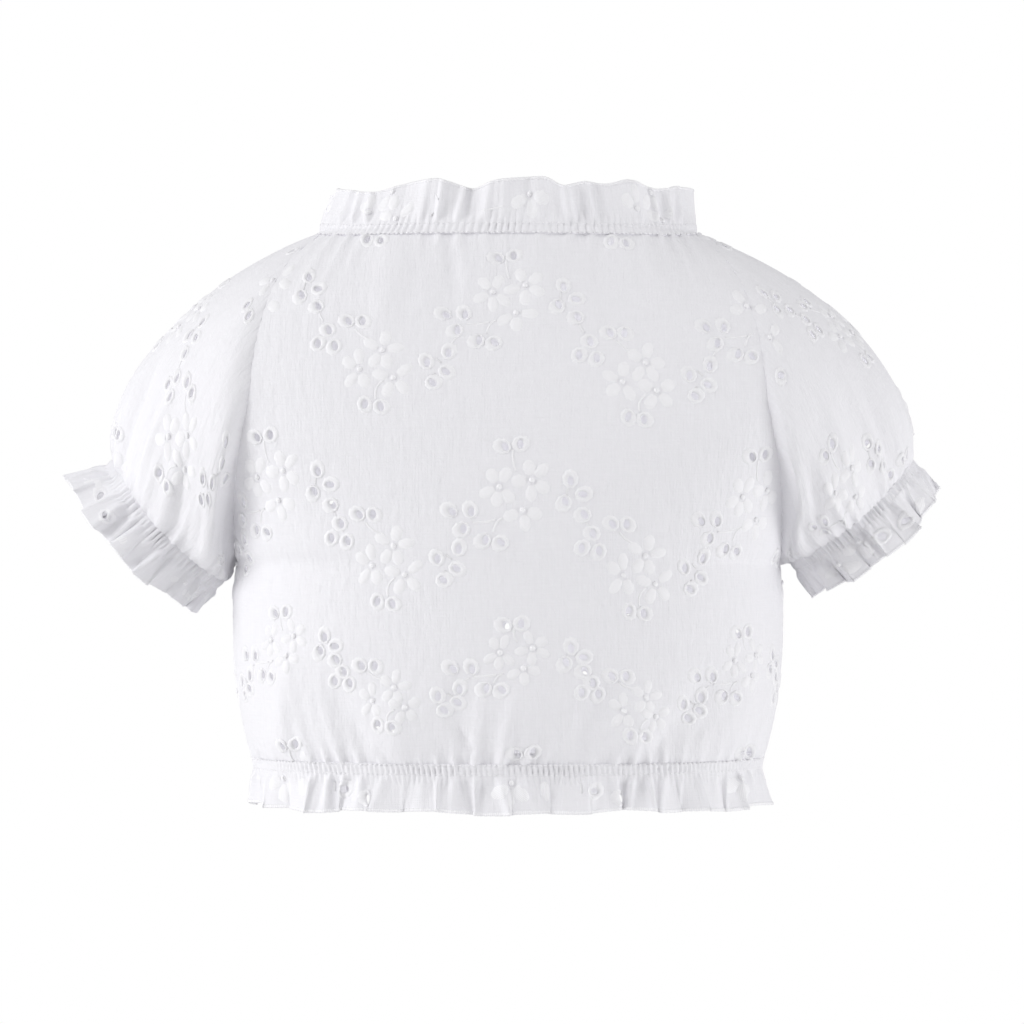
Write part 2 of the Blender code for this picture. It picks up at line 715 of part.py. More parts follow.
def wrap_ring(bm, line, way, spin, shape):
    """Moves a thickened ring onto a closed line; shape gives how far along and outward each point is."""
    flat = np.array([tuple(v.co) for v in bm.verts])
    angles = np.degrees(np.arctan2(flat[:, 1], flat[:, 0]))
    reach = np.hypot(flat[:, 0], flat[:, 1]) - 1.0
    along, outward = shape(angles, reach, flat[:, 2])
    points = line(angles) + ring_normals(line, angles, way) * (spin * outward)[:, None]
    for vert, point in zip(bm.verts, points + way * along[:, None]):
        vert.co = point


def channel_shape(columns):
    """A stitched channel: a low ridge outside, raised in gathers, and plain inside."""
    def shape(angles, reach, layer):
        column = np.round(angles * columns / 360.0)
        gather = np.where(column % 2 == 0, GATHER_RISE, 0.0)
        along = SEAM_GAP / 2.0 + reach * (CHANNEL_HEIGHT - SEAM_GAP)
        outward = np.where(layer > 0.5, CHANNEL_RISE + gather, -WALL)
        return along, outward
    return shape


def ruffle_shape(height, lean, waves, depth, turn):
    """A ruffle: waves that grow towards its edge, uneven in width and depth; lean is a function of angle."""
    def shape(angles, reach, layer):
        radians = np.radians(angles)
        uneven = 0.35 * np.sin(3.0 * radians + turn) + 0.25 * np.sin(5.0 * radians - turn)
        wave = np.sin(waves * radians + turn + 1.6 * uneven)
        swell = 1.0 + 0.3 * np.sin(4.0 * radians + 2.0 * turn)
        grown = RUFFLE_START_DEPTH + (1.0 - RUFFLE_START_DEPTH) * reach
        full_height = height + RUFFLE_UNEVEN_HEIGHT * np.sin(7.0 * radians + turn)
        along = CHANNEL_HEIGHT + SEAM_GAP / 2.0 + reach * full_height
        inner = RUFFLE_WALL * (1.0 - layer)
        outward = lean(angles) * height * reach + depth * grown * swell * wave - inner
        return along, outward
    return shape


def make_ring(name, line, way, spin, columns, rows, shape, material):
    """A channel or a ruffle all the way round."""
    bm = ring_sheet(columns, rows)
    thicken(bm)
    wrap_ring(bm, line, way, spin, shape)
    return finish_piece(name, bm, material)


def make_edge(loop_name, line, way, spin, columns, material):
    """The channel and the ruffle of the neck or the hem."""
    ruffle_name = loop_name + "_ruffle"
    row = next(row for row in RUFFLES["rows"] if row[0] == ruffle_name)
    _, height, waves, depth, turn, faces, middle_lean, lean_change = row

    def lean(angles):
        return middle_lean + lean_change * np.sin(np.radians(angles))

    make_ring(loop_name + "_channel", line, way, spin, columns, 1, channel_shape(columns), material)
    ruffle = ruffle_shape(height, lean, waves, depth, turn)
    make_ring(ruffle_name, line, way, spin, faces, 2, ruffle, material)


def make_cuff(side_name, side, material):
    """The channel and the ruffle of one cuff; under the arm the ruffle is short and hangs straight."""
    cuff = Cuff(side)
    mirror = np.array((side, 1.0, 1.0))

    def line(angles):
        return cuff.line(angles) * mirror

    def lean(angles):
        near_outer = 0.5 + 0.5 * np.cos(np.radians(angles))
        return CUFF_FLARE_UNDER + (CUFF_FLARE_OUTER[side] - CUFF_FLARE_UNDER) * near_outer

    turn = CUFF_RUFFLE_TURN[side]
    full = ruffle_shape(CUFF_RUFFLE_HEIGHT, lean, CUFF_RUFFLE_WAVES, CUFF_RUFFLE_DEPTH, turn)

    def ruffle(angles, reach, layer):
        along, outward = full(angles, reach, layer)
        under = np.clip((np.abs(angles) - 90.0) / 90.0, 0.0, 1.0)
        shorter = 1.0 - under * (1.0 - CUFF_RUFFLE_UNDER_HEIGHT / CUFF_RUFFLE_HEIGHT)
        first = CHANNEL_HEIGHT + SEAM_GAP / 2.0
        return first + (along - first) * shorter, outward

    way = cuff.way * mirror
    channel = channel_shape(CUFF_COLUMNS)
    make_ring("cuff_channel_" + side_name, line, way, -side, CUFF_COLUMNS, 1, channel, material)
    make_ring("cuff_ruffle_" + side_name, line, way, -side, CUFF_RUFFLE_FACES, 2, ruffle, material)


def cotton(name, shade):
    """White cotton."""
    material = bpy.data.materials.new(name)
    material.use_nodes = True
    surface = material.node_tree.nodes["Principled BSDF"]
    surface.inputs["Base Color"].default_value = (shade, shade, shade * 1.01, 1.0)
    surface.inputs["Roughness"].default_value = 0.9
    surface.inputs["Metallic"].default_value = 0.0
    return material


def main():
    for old in list(bpy.data.objects):
        bpy.data.objects.remove(old, do_unlink=True)
    panel_cloth = cotton("eyelet_cotton", 0.85)
    edge_cloth = cotton("gathered_cotton", 0.80)
    make_body_panel("back_panel", BodyPanel(BACK, BACK_FOLDS, 1.0), BACK_START, panel_cloth)
    make_body_panel("front_panel", BodyPanel(FRONT, FRONT_FOLDS, -1.0), FRONT_START, panel_cloth)
    for side_name, side in (("left", 1.0), ("right", -1.0)):
        sleeve = Sleeve(side)
        make_sleeve_half("sleeve_" + side_name + "_back", sleeve, 1.0, SLEEVE_START, panel_cloth)
        make_sleeve_half("sleeve_" + side_name + "_front", sleeve, -1.0, SLEEVE_START, panel_cloth)
        make_cuff(side_name, side, edge_cloth)
    up = np.array((0.0, 0.0, 1.0))
    make_edge("neck", neck_line, up, -1.0, NECK_COLUMNS, edge_cloth)
    make_edge("hem", hem_line, -up, 1.0, HEM_COLUMNS, edge_cloth)


main()
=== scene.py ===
"""The white cotton top dressed over its solids: gathered cloth, cut eyelets, satin flowers and stitching.

Sizes are in millimetres, and MM turns them into metres. X runs across the garment with its left sleeve
at +X, the back faces +Y, and Z is up from the neck line. Every cloth is laid out flat first, x to the
right and y down, seen from outside. It is then wrapped on the worn form, and what is stitched on it is
wrapped with it, a little further out.
"""

import math

import bmesh
import bpy
import numpy as np
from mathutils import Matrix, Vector
from mathutils.geometry import delaunay_2d_cdt


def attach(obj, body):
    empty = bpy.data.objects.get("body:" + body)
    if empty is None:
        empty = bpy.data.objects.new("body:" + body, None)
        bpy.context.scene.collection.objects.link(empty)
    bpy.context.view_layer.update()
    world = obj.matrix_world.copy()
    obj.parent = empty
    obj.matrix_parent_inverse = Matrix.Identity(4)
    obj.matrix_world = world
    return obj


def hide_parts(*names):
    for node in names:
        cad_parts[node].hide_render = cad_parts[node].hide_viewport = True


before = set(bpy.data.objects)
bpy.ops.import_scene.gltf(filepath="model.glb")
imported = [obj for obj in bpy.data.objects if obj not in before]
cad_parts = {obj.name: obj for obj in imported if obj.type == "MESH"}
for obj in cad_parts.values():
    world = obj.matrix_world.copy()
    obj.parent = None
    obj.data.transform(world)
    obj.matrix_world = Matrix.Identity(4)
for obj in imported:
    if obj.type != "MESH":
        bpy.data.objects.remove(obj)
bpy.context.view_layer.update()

MM = 0.001
CLOTH_THICKNESS = 0.45
SURFACE_STEPS = 160

# The camera looks level at the back, far enough away that little is foreshortened
CAMERA_DISTANCE = 2600.0
VIEW_WIDTH = 542.7
VIEW_MIDDLE_X = -2.1
VIEW_MIDDLE_Z = -148.4
SENSOR_WIDTH = 36.0

# The small soft lights inside the hollow: where, in metres, and how strong
INSIDE_LIGHTS = (
    ("inside_chest", (0.0, -0.01, -0.09), 0.06),
    ("inside_waist", (0.0, -0.01, -0.21), 0.06),
    ("inside_left_sleeve", (0.15, -0.005, -0.10), 0.035),
    ("inside_right_sleeve", (-0.15, -0.005, -0.10), 0.035),
)

# The neck line, round the wearer from the middle of the back: 0 degrees is the back, 90 the left side
NECK_HALF_WIDTH = 99.0
NECK_BACK = 72.0
NECK_FRONT = 78.0
NECK_MIDDLE_Y = -10.0
NECK_DROP = 22.0
BACK_SEAM_ANGLE = 80.0
FRONT_SEAM_ANGLE = 120.0

UNDERARM_DROP = 176.0
HEM_DROP = 281.0
CHANNEL_HEIGHT = 5.0

# The neck ruffle's height round its top, by the angle from the middle of the back
NECK_TIP = {
    "columns": ("angle", "height"),
    "rows": (
        (-180.0, 16.8),
        (-160.0, 18.4),
        (-140.0, 15.6),
        (-120.0, 18.0),
        (-100.0, 16.2),
        (-80.0, 18.2),
        (-66.0, 17.8),
        (-55.0, 15.8),
        (-40.0, 19.6),
        (-32.0, 17.1),
        (-25.0, 18.2),
        (-17.3, 15.8),
        (-11.0, 20.4),
        (4.0, 18.4),
        (11.0, 14.4),
        (23.0, 19.6),
        (37.0, 17.1),
        (48.0, 13.8),
        (66.0, 16.0),
        (80.0, 17.6),
        (100.0, 15.8),
        (120.0, 18.4),
        (140.0, 16.4),
        (160.0, 17.8),
        (180.0, 16.8),
    ),
}

# Each row is a level of the back: how far down it lies, where its seam or side is, how far back its middle
# is, and the angle that its curve has turned at the seam
BACK = {
    "columns": ("drop", "seam_x", "seam_y", "middle_y", "turn"),
    "rows": (
        (0.0, 97.5, 2.5, 62.0, 80.0),
        (16.0, 114.0, 30.0, 71.0, 67.0),
        (36.0, 124.0, 54.0, 82.0, 58.0),
        (66.0, 131.0, 71.0, 94.0, 54.0),
        (89.0, 133.5, 76.0, 100.0, 54.0),
        (108.0, 137.0, 74.0, 103.0, 58.0),
        (128.0, 141.0, 62.0, 104.0, 66.0),
        (150.0, 143.0, 40.0, 103.0, 77.0),
        (168.0, 143.8, 19.0, 102.0, 84.0),
        (176.0, 144.0, -4.0, 101.0, 90.0),
        (195.0, 146.0, -4.0, 99.0, 90.0),
        (216.0, 145.8, -4.0, 97.0, 90.0),
        (250.0, 142.6, -4.0, 93.0, 90.0),
        (267.0, 139.0, -4.0, 89.5, 90.0),
        (276.0, 136.0, -4.0, 86.5, 90.0),
        (281.0, 133.6, -4.0, 85.0, 90.0),
    ),
}

# The front in the same way; dip is how much lower its middle lies than its seam
FRONT = {
    "columns": ("drop", "seam_x", "seam_y", "middle_y", "turn", "dip"),
    "rows": (
        (7.8, 85.7, -49.0, -88.0, 60.0, 14.2),
        (27.0, 97.0, -63.0, -95.0, 56.0, 12.5),
        (50.0, 106.0, -74.0, -104.0, 54.0, 10.0),
        (76.0, 113.0, -81.0, -113.0, 54.0, 7.0),
        (100.0, 120.0, -82.0, -119.0, 56.0, 4.5),
        (125.0, 134.0, -71.0, -122.0, 64.0, 2.0),
        (150.0, 143.0, -48.0, -122.0, 77.0, 0.6),
        (168.0, 143.8, -27.0, -120.5, 84.0, 0.1),
        (176.0, 144.0, -4.0, -119.0, 90.0, 0.0),
        (195.0, 146.0, -4.0, -115.0, 90.0, 0.0),
        (216.0, 145.8, -4.0, -110.0, 90.0, 0.0),
        (250.0, 142.6, -4.0, -101.0, 90.0, 0.0),
        (267.0, 139.0, -4.0, -97.0, 90.0, 0.0),
        (276.0, 136.0, -4.0, -94.5, 90.0, 0.0),
        (281.0, 133.6, -4.0, -93.0, 90.0, 0.0),
    ),
}

# Each cuff's line, seen from behind: its outer and its inner end, across and down from the neck line
CUFFS = {
    "columns": ("side", "outer_x", "outer_drop", "inner_x", "inner_drop"),
    "rows": (
        (1.0, 208.5, 121.0, 151.5, 185.0),
        (-1.0, 213.5, 120.0, 150.5, 175.0),
    ),
}
CUFF_MIDDLE_Y = -5.0
CUFF_HALF_DEPTH = 41.5
CUFF_BOW = 5.0

# The puff of the sleeve, by the angle round it from the shoulder line: the way it leaves the seam, how
# strongly, and how much it bulges over the cuff
PUFF = {
    "columns": ("angle", "leave_x", "leave_y", "leave_z", "pull", "bulge"),
    "rows": (
        (0.0, 0.96, 0.00, -0.22, 1.25, 0.62),
        (45.0, 0.90, 0.24, -0.34, 1.14, 0.74),
        (90.0, 0.72, 0.42, -0.55, 1.00, 0.92),
        (135.0, 0.62, 0.56, -0.52, 1.10, 0.85),
        (160.0, 0.58, 0.40, -0.70, 1.10, 0.55),
        (180.0, 0.62, 0.00, -0.78, 0.90, 0.20),
    ),
}
SLEEVE_REACH = 0.49
SLEEVE_NECK_ANGLE = 45.0
SLEEVE_WIDTH = 420.0

# The largest folds of each panel: the middle of each, its lean from straight down, its length, its half
# width, and how far it stands out, or sinks in where that is negative
FOLD_COLUMNS = ("x", "y", "lean", "length", "half_width", "depth")
BACK_FOLDS = {
    "columns": FOLD_COLUMNS,
    "rows": (
        (-62.0, 34.0, 8.0, 60.0, 8.0, 1.6),
        (-30.0, 30.0, 3.0, 50.0, 8.0, -1.4),
        (16.0, 32.0, -4.0, 56.0, 9.0, 1.4),
        (48.0, 28.0, -8.0, 48.0, 8.0, -1.5),
        (80.0, 36.0, -14.0, 56.0, 8.0, 1.6),
        (-128.0, 262.0, 10.0, 60.0, 10.0, 2.6),
        (-84.0, 268.0, -24.0, 52.0, 8.0, -2.4),
        (-58.0, 272.0, -10.0, 44.0, 8.0, 2.4),
        (-26.0, 266.0, 6.0, 50.0, 8.0, -2.0),
        (4.0, 270.0, 12.0, 46.0, 9.0, 2.2),
        (40.0, 268.0, 28.0, 52.0, 8.0, -2.4),
        (66.0, 270.0, 10.0, 44.0, 8.0, 2.4),
        (96.0, 264.0, 32.0, 54.0, 8.0, -2.4),
        (132.0, 262.0, 14.0, 60.0, 10.0, 2.6),
    ),
}
FRONT_FOLDS = {
    "columns": FOLD_COLUMNS,
    "rows": (
        (-56.0, 26.0, 14.0, 50.0, 8.0, 1.5),
        (-22.0, 22.0, 4.0, 44.0, 8.0, -1.4),
        (12.0, 24.0, -3.0, 48.0, 9.0, 1.5),
        (44.0, 26.0, -12.0, 48.0, 8.0, -1.4),
        (-130.0, 243.0, -12.0, 56.0, 10.0, 2.6),
        (-92.0, 249.0, 10.0, 50.0, 9.0, -2.2),
        (-54.0, 251.0, -8.0, 46.0, 9.0, 2.4),
        (-16.0, 249.0, 5.0, 50.0, 9.0, -2.0),
        (24.0, 251.0, -6.0, 46.0, 9.0, 2.4),
        (62.0, 249.0, 8.0, 48.0, 9.0, -2.2),
        (98.0, 249.0, -10.0, 50.0, 9.0, 2.2),
        (134.0, 243.0, 12.0, 56.0, 10.0, 2.6),
    ),
}
SLEEVE_FOLDS = {
    "columns": FOLD_COLUMNS,
    "rows": (
        (-150.0, 170.0, 10.0, 50.0, 9.0, -2.4),
        (-118.0, 160.0, 6.0, 70.0, 10.0, 2.6),
        (-84.0, 156.0, 4.0, 80.0, 9.0, -2.4),
        (-50.0, 150.0, 3.0, 90.0, 10.0, 2.6),
        (-16.0, 154.0, 0.0, 80.0, 9.0, -2.2),
        (18.0, 150.0, -2.0, 86.0, 10.0, 2.6),
        (52.0, 154.0, -3.0, 84.0, 9.0, -2.6),
        (86.0, 156.0, -5.0, 80.0, 10.0, 2.6),
        (120.0, 162.0, -7.0, 66.0, 9.0, -2.4),
        (150.0, 170.0, -10.0, 48.0, 9.0, 2.2),
    ),
}
FOLD_FADE = 14.0

# Small soft folds, in the same way: drawn in over the hem, below the neck, and down the sleeves
SOFT_BACK_FOLDS = {
    "columns": FOLD_COLUMNS,
    "rows": (
        (-74.0, 275.0, -44.0, 30.0, 2.6, -1.3),
        (-77.5, 271.0, -44.0, 26.0, 3.0, 0.9),
        (-38.0, 274.0, -12.0, 24.0, 2.2, -0.9),
        (-21.0, 277.0, -34.0, 22.0, 2.4, -1.1),
        (-25.0, 276.0, -30.0, 20.0, 2.6, 0.7),
        (46.0, 277.0, 54.0, 24.0, 2.4, -1.1),
        (50.0, 273.0, 54.0, 22.0, 2.8, 0.8),
        (81.0, 277.0, 37.0, 24.0, 2.4, -1.0),
        (104.0, 272.0, 30.0, 28.0, 2.6, -1.0),
        (-104.0, 274.0, -16.0, 30.0, 2.6, -1.0),
        (-124.0, 270.0, -8.0, 32.0, 2.8, 1.0),
        (4.0, 274.0, 6.0, 26.0, 2.4, -0.8),
        (128.0, 270.0, 10.0, 34.0, 2.8, -1.1),
        (-46.0, 24.0, 10.0, 40.0, 3.6, -0.6),
        (-18.0, 20.0, 4.0, 36.0, 3.2, 0.5),
        (34.0, 22.0, -6.0, 40.0, 3.4, -0.5),
        (64.0, 24.0, -14.0, 36.0, 3.6, 0.6),
    ),
}
SOFT_FRONT_FOLDS = {
    "columns": FOLD_COLUMNS,
    "rows": (
        (-96.0, 252.0, -24.0, 30.0, 2.6, -1.2),
        (-60.0, 253.0, 30.0, 26.0, 2.4, -1.0),
        (-30.0, 252.0, -10.0, 26.0, 2.4, 0.9),
        (6.0, 253.0, 18.0, 24.0, 2.4, -1.0),
        (40.0, 252.0, -34.0, 28.0, 2.6, -1.1),
        (74.0, 253.0, 24.0, 26.0, 2.4, 0.9),
        (112.0, 250.0, 12.0, 30.0, 2.8, -1.1),
        (-36.0, 22.0, 12.0, 36.0, 3.2, -0.6),
        (30.0, 20.0, -8.0, 34.0, 3.2, 0.6),
    ),
}
SOFT_SLEEVE_FOLDS = {
    "columns": FOLD_COLUMNS,
    "rows": (
        (-134.0, 158.0, 8.0, 60.0, 4.2, -2.0),
        (-101.0, 150.0, 5.0, 78.0, 4.6, 2.0),
        (-68.0, 156.0, 3.0, 66.0, 4.0, -1.8),
        (-34.0, 148.0, 2.0, 80.0, 4.4, 1.8),
        (1.0, 152.0, 0.0, 74.0, 4.0, -1.8),
        (34.0, 146.0, -3.0, 88.0, 4.4, 2.0),
        (46.0, 150.0, -2.0, 70.0, 3.4, -2.0),
        (70.0, 150.0, -4.0, 84.0, 4.4, -2.0),
        (80.0, 154.0, -5.0, 66.0, 3.4, 1.8),
        (103.0, 158.0, -7.0, 68.0, 4.2, 1.8),
        (112.0, 156.0, -8.0, 60.0, 3.6, -1.8),
        (136.0, 164.0, -9.0, 56.0, 4.2, -2.0),
    ),
}
SOFT_FADE = 3.0

# The embroidery's rows of clusters in a zigzag: the middle of one high cluster, how far apart they are, how
# the row tilts, where its low clusters lie from half way between, and how drawn together it is in height
ROW_COLUMNS = ("x", "y", "spacing", "tilt", "low_shift", "low_drop", "height")
BACK_ROWS = {
    "columns": ROW_COLUMNS,
    "rows": (
        (-6.3, -54.3, 130.5, 0.015, 2.0, 42.5, 1.0),
        (-1.5, 42.3, 135.0, 0.050, 2.2, 42.5, 1.0),
        (1.8, 145.7, 131.0, 0.038, 2.2, 39.5, 1.0),
        (2.2, 230.1, 131.0, 0.040, 2.0, 25.5, 0.68),
        (8.0, 297.0, 131.0, 0.020, 2.0, 25.5, 0.68),
    ),
}
FRONT_ROWS = {
    "columns": ROW_COLUMNS,
    "rows": (
        (26.5, -37.0, 139.0, 0.0, 0.0, 43.0, 1.0),
        (30.0, 62.0, 139.0, 0.0, 0.0, 43.0, 1.0),
        (33.5, 161.0, 139.0, 0.0, 0.0, 43.0, 1.0),
        (37.0, 252.0, 139.0, 0.0, 0.0, 36.0, 0.85),
    ),
}
LEFT_SLEEVE_ROWS = {
    "columns": ROW_COLUMNS,
    "rows": (
        (25.5, -19.0, 139.0, 0.0, 0.0, 43.0, 1.0),
        (29.0, 80.0, 139.0, 0.0, 0.0, 43.0, 1.0),
        (32.5, 179.0, 139.0, 0.0, 0.0, 43.0, 1.0),
    ),
}
RIGHT_SLEEVE_ROWS = {
    "columns": ROW_COLUMNS,
    "rows": (
        (22.5, -49.0, 139.0, 0.0, 0.0, 43.0, 1.0),
        (26.0, 50.0, 139.0, 0.0, 0.0, 43.0, 1.0),
        (29.5, 149.0, 139.0, 0.0, 0.0, 43.0, 1.0),
    ),
}
CUFF_ROWS = {
    "columns": ROW_COLUMNS,
    "rows": ((10.0, 14.0, 96.0, 0.0, 0.0, 20.0, 1.0),),
}
NECK_ROWS = {
    "columns": ROW_COLUMNS,
    "rows": ((6.0, -28.0, 150.0, 0.0, 0.0, 14.0, 1.0),),
}
HEM_ROWS = {
    "columns": ROW_COLUMNS,
    "rows": ((8.0, 10.0, 131.0, 0.0, 0.0, 31.0, 1.0),),
}

# Each cluster's eyelets: the middle of each hole from the cluster's middle, the hole's lean, and how far
# the stitched rim's middle lies from the hole's
EYELET_COLUMNS = ("x", "y", "lean", "rim_x", "rim_y")
HIGH_EYELETS = {
    "columns": EYELET_COLUMNS,
    "rows": (
        (-3.1, -22.0, -35.0, -1.7, -0.3),
        (4.6, -23.4, 0.0, 0.2, -0.1),
        (-30.1, 11.2, -40.0, -2.0, -1.0),
        (-20.4, 11.2, 0.0, -0.7, -1.3),
        (-24.3, 19.8, 0.0, -1.4, 0.5),
        (-13.1, 25.5, 10.0, -1.8, 0.6),
        (-5.2, 26.7, -50.0, -0.6, 0.4),
        (30.2, -4.6, -10.0, -0.1, -1.1),
        (36.5, 2.3, -80.0, 0.6, -0.2),
        (27.6, 5.7, -25.0, -1.0, 1.3),
        (37.4, 12.5, -35.0, -1.2, 0.3),
    ),
}
LOW_EYELETS = {
    "columns": EYELET_COLUMNS,
    "rows": (
        (-15.6, -24.6, -35.0, -1.2, -0.3),
        (-8.3, -24.6, 0.0, 0.6, 0.3),
        (-25.9, -19.8, -15.0, -0.7, -0.1),
        (-31.7, -12.4, 0.0, 0.1, -0.1),
        (-22.6, -11.0, -10.0, -0.4, 0.6),
        (-6.6, 20.1, 15.0, 0.1, 0.3),
        (1.6, 21.4, -15.0, 0.5, 0.1),
        (36.4, -6.8, 0.0, 0.3, -1.1),
        (25.5, -1.8, 0.0, -0.5, -0.7),
        (35.2, 3.1, -60.0, 0.6, 0.2),
        (28.4, 9.0, -50.0, 0.6, -0.2),
    ),
}

# Each cluster's three flowers: the middle of each, and the ways that its petals point, in degrees
# clockwise from the right
FLOWER_COLUMNS = ("x", "y", "petals")
HIGH_FLOWERS = {
    "columns": FLOWER_COLUMNS,
    "rows": (
        (-6.2, -1.6, (-127.0, -63.0, 156.0, 94.0, 45.0)),
        (10.4, -5.0, (-107.0, -39.0, 29.0, 94.0, 171.0)),
        (5.7, 10.2, (11.0, 83.0, 152.0)),
    ),
}
LOW_FLOWERS = {
    "columns": FLOWER_COLUMNS,
    "rows": (
        (2.3, -8.5, (-78.0, -4.0, -146.0, 124.0, 63.0)),
        (-9.5, 1.7, (-88.0, -150.0, 133.0, 63.0)),
        (8.1, 6.3, (-29.0, 47.0, 114.0, -162.0)),
    ),
}

# Each cluster's stems: three points along each
STEM_COLUMNS = ("start", "middle", "end")
HIGH_STEMS = {
    "columns": STEM_COLUMNS,
    "rows": (
        ((0.8, -20.5), (1.0, -14.5), (2.4, -9.6)),
        ((-4.6, 14.6), (-7.4, 16.6), (-9.3, 21.6)),
        ((28.8, -1.2), (28.5, 0.8), (28.4, 2.6)),
        ((38.4, 16.6), (39.2, 18.8), (40.6, 21.2)),
        ((-19.6, 16.6), (-14.0, 16.4), (-8.2, 15.4)),
    ),
}
LOW_STEMS = {
    "columns": STEM_COLUMNS,
    "rows": (
        ((2.7, 8.2), (-0.6, 12.2), (-0.8, 17.6)),
        ((-12.0, -20.4), (-9.0, -17.0), (-4.6, -14.6)),
        ((30.2, -4.0), (31.4, -2.6), (32.6, -1.8)),
        ((29.6, 4.4), (28.8, 5.0), (28.4, 5.8)),
        ((37.6, -10.8), (39.0, -13.6), (41.4, -15.6)),
    ),
}

# The weave's pitch on the flat cloth, in hundredths of a millimetre's step of its map, and the stitches'
WEAVE_PITCH = 0.0075
STITCH_PITCH = 0.62

HOLE_HALF_LENGTH = 2.4
HOLE_HALF_WIDTH = 1.65
HOLE_CORNERS = 12
RIM_HALF_LENGTH = 4.8
RIM_HALF_WIDTH = 4.1
RIM_HEIGHT = 0.55
PETAL_START = 2.7
PETAL_LENGTH = 8.4
PETAL_HALF_WIDTH = 3.1
PETAL_HEIGHT = 0.62
KNOT_RADIUS = 1.55
KNOT_HEIGHT = 1.15
STEM_HALF_WIDTH = 0.62
STEM_HEIGHT = 0.42

# The cloth's mesh: its even grid, and rows beside the gathers and the seams, by their distance and pitch
CLOTH_GRID = 2.7
GATHER_ROWS = {
    "columns": ("distance", "pitch"),
    "rows": (
        (0.6, 0.7),
        (1.3, 0.7),
        (2.4, 0.7),
        (3.8, 0.8),
        (5.6, 1.1),
        (7.8, 1.5),
        (10.4, 2.0),
        (13.0, 2.5),
    ),
}
GATHER_ZONE = 14.5
SEAM_ROWS = (0.7, 1.6, 3.0)
SEAM_PITCH = 1.8
SEAM_ZONE = 4.2
EYELET_CLEAR = 5.4
EYELETS_APART = 6.5
PETAL_CLEAR = 3.0

# How the seams sink in, and how the gathers fade into the cloth
SEAM_SINK = 0.0
SEAM_HALF_WIDTH = 1.3
GATHER_SINK = 0.1
CHANNEL_RISE = 0.45
RIB_DEPTH = 0.85

# How far a channel laps over its panel, by the angle from the back, and how far it then stands outward
LAP_CLEARANCE = 1.1
LAP_COLUMNS = ("angle", "lap", "outward")
NECK_LAP = {
    "columns": LAP_COLUMNS,
    "rows": (
        (0.0, 3.7, 0.58),
        (30.0, 3.7, 0.92),
        (50.0, 3.4, 1.20),
        (65.0, 2.4, 1.45),
        (80.0, 1.0, 1.90),
        (100.0, 0.6, 2.70),
        (120.0, 0.8, 1.60),
        (140.0, 1.6, 0.72),
        (180.0, 2.0, 0.45),
    ),
}
HEM_LAP = {"columns": LAP_COLUMNS, "rows": ((0.0, 2.6, 0.30), (180.0, 2.6, 0.30))}
NO_LAP = {"columns": LAP_COLUMNS, "rows": ((0.0, 0.0, 0.0), (180.0, 0.0, 0.0))}

# The gathers along each elastic: how many fine and broad ones, where they begin, how high each kind is and
# how far it reaches into the cloth
GATHER_COLUMNS = ("fine", "broad", "start", "fine_height", "broad_height", "fine_reach", "broad_reach")
GATHERS = {
    "columns": ("name",) + GATHER_COLUMNS,
    "rows": (
        ("neck", 150.0, 46.0, 0.4, 0.52, 0.95, 4.0, 24.0),
        ("hem", 250.0, 66.0, 1.9, 0.55, 1.40, 6.0, 19.0),
        ("left_cuff", 92.0, 31.0, 0.9, 0.55, 1.50, 7.0, 30.0),
        ("right_cuff", 92.0, 29.0, 2.6, 0.55, 1.50, 7.0, 30.0),
    ),
}


def hermite(start, end, leave, arrive, t):
    """The point at t, from 0 to 1, on the curve between two points with the given end directions."""
    square = t * t
    cube = square * t
    ahead = 3.0 * square - 2.0 * cube
    return start * (1.0 - ahead) + end * ahead + leave * (cube - 2.0 * square + t) + arrive * (cube - square)


def read(table, column, at):
    """A column of a table at each value of its first column, smooth and never past its rows."""
    rows = np.array(table["rows"], dtype=float)
    keys = rows[:, 0]
    values = rows[:, table["columns"].index(column)]
    secants = np.diff(values) / np.diff(keys)
    level = secants[1:] * secants[:-1] > 0.0
    total = np.where(level, secants[1:] + secants[:-1], 1.0)
    inner = np.where(level, 2.0 * secants[1:] * secants[:-1] / total, 0.0)
    slopes = np.concatenate([secants[:1], inner, secants[-1:]])
    row = np.clip(np.searchsorted(keys, at, side="right") - 1, 0, len(keys) - 2)
    span = keys[row + 1] - keys[row]
    t = np.clip((at - keys[row]) / span, 0.0, 1.0)
    return hermite(values[row], values[row + 1], slopes[row] * span, slopes[row + 1] * span, t)


def unit(vectors):
    """The vectors at length one."""
    return vectors / np.maximum(np.linalg.norm(vectors, axis=-1, keepdims=True), 1e-9)


def lengths_along(points):
    """The distance to each point from the first one, along the first axis of the array."""
    steps = np.linalg.norm(np.diff(points, axis=0), axis=-1)
    return np.concatenate([np.zeros_like(steps[:1]), np.cumsum(steps, axis=0)])


def lookup(grid, across, down):
    """The grid's value at fractions of its columns and rows, between the four nearest points."""
    last_row = grid.shape[0] - 1
    last_column = grid.shape[1] - 1
    row = np.clip(down, 0.0, 1.0) * last_row
    column = np.clip(across, 0.0, 1.0) * last_column
    top = np.minimum(row.astype(int), last_row - 1)
    left = np.minimum(column.astype(int), last_column - 1)
    b = (row - top)[..., None]
    a = (column - left)[..., None]
    upper = grid[top, left] * (1.0 - a) + grid[top, left + 1] * a
    lower = grid[top + 1, left] * (1.0 - a) + grid[top + 1, left + 1] * a
    return upper * (1.0 - b) + lower * b


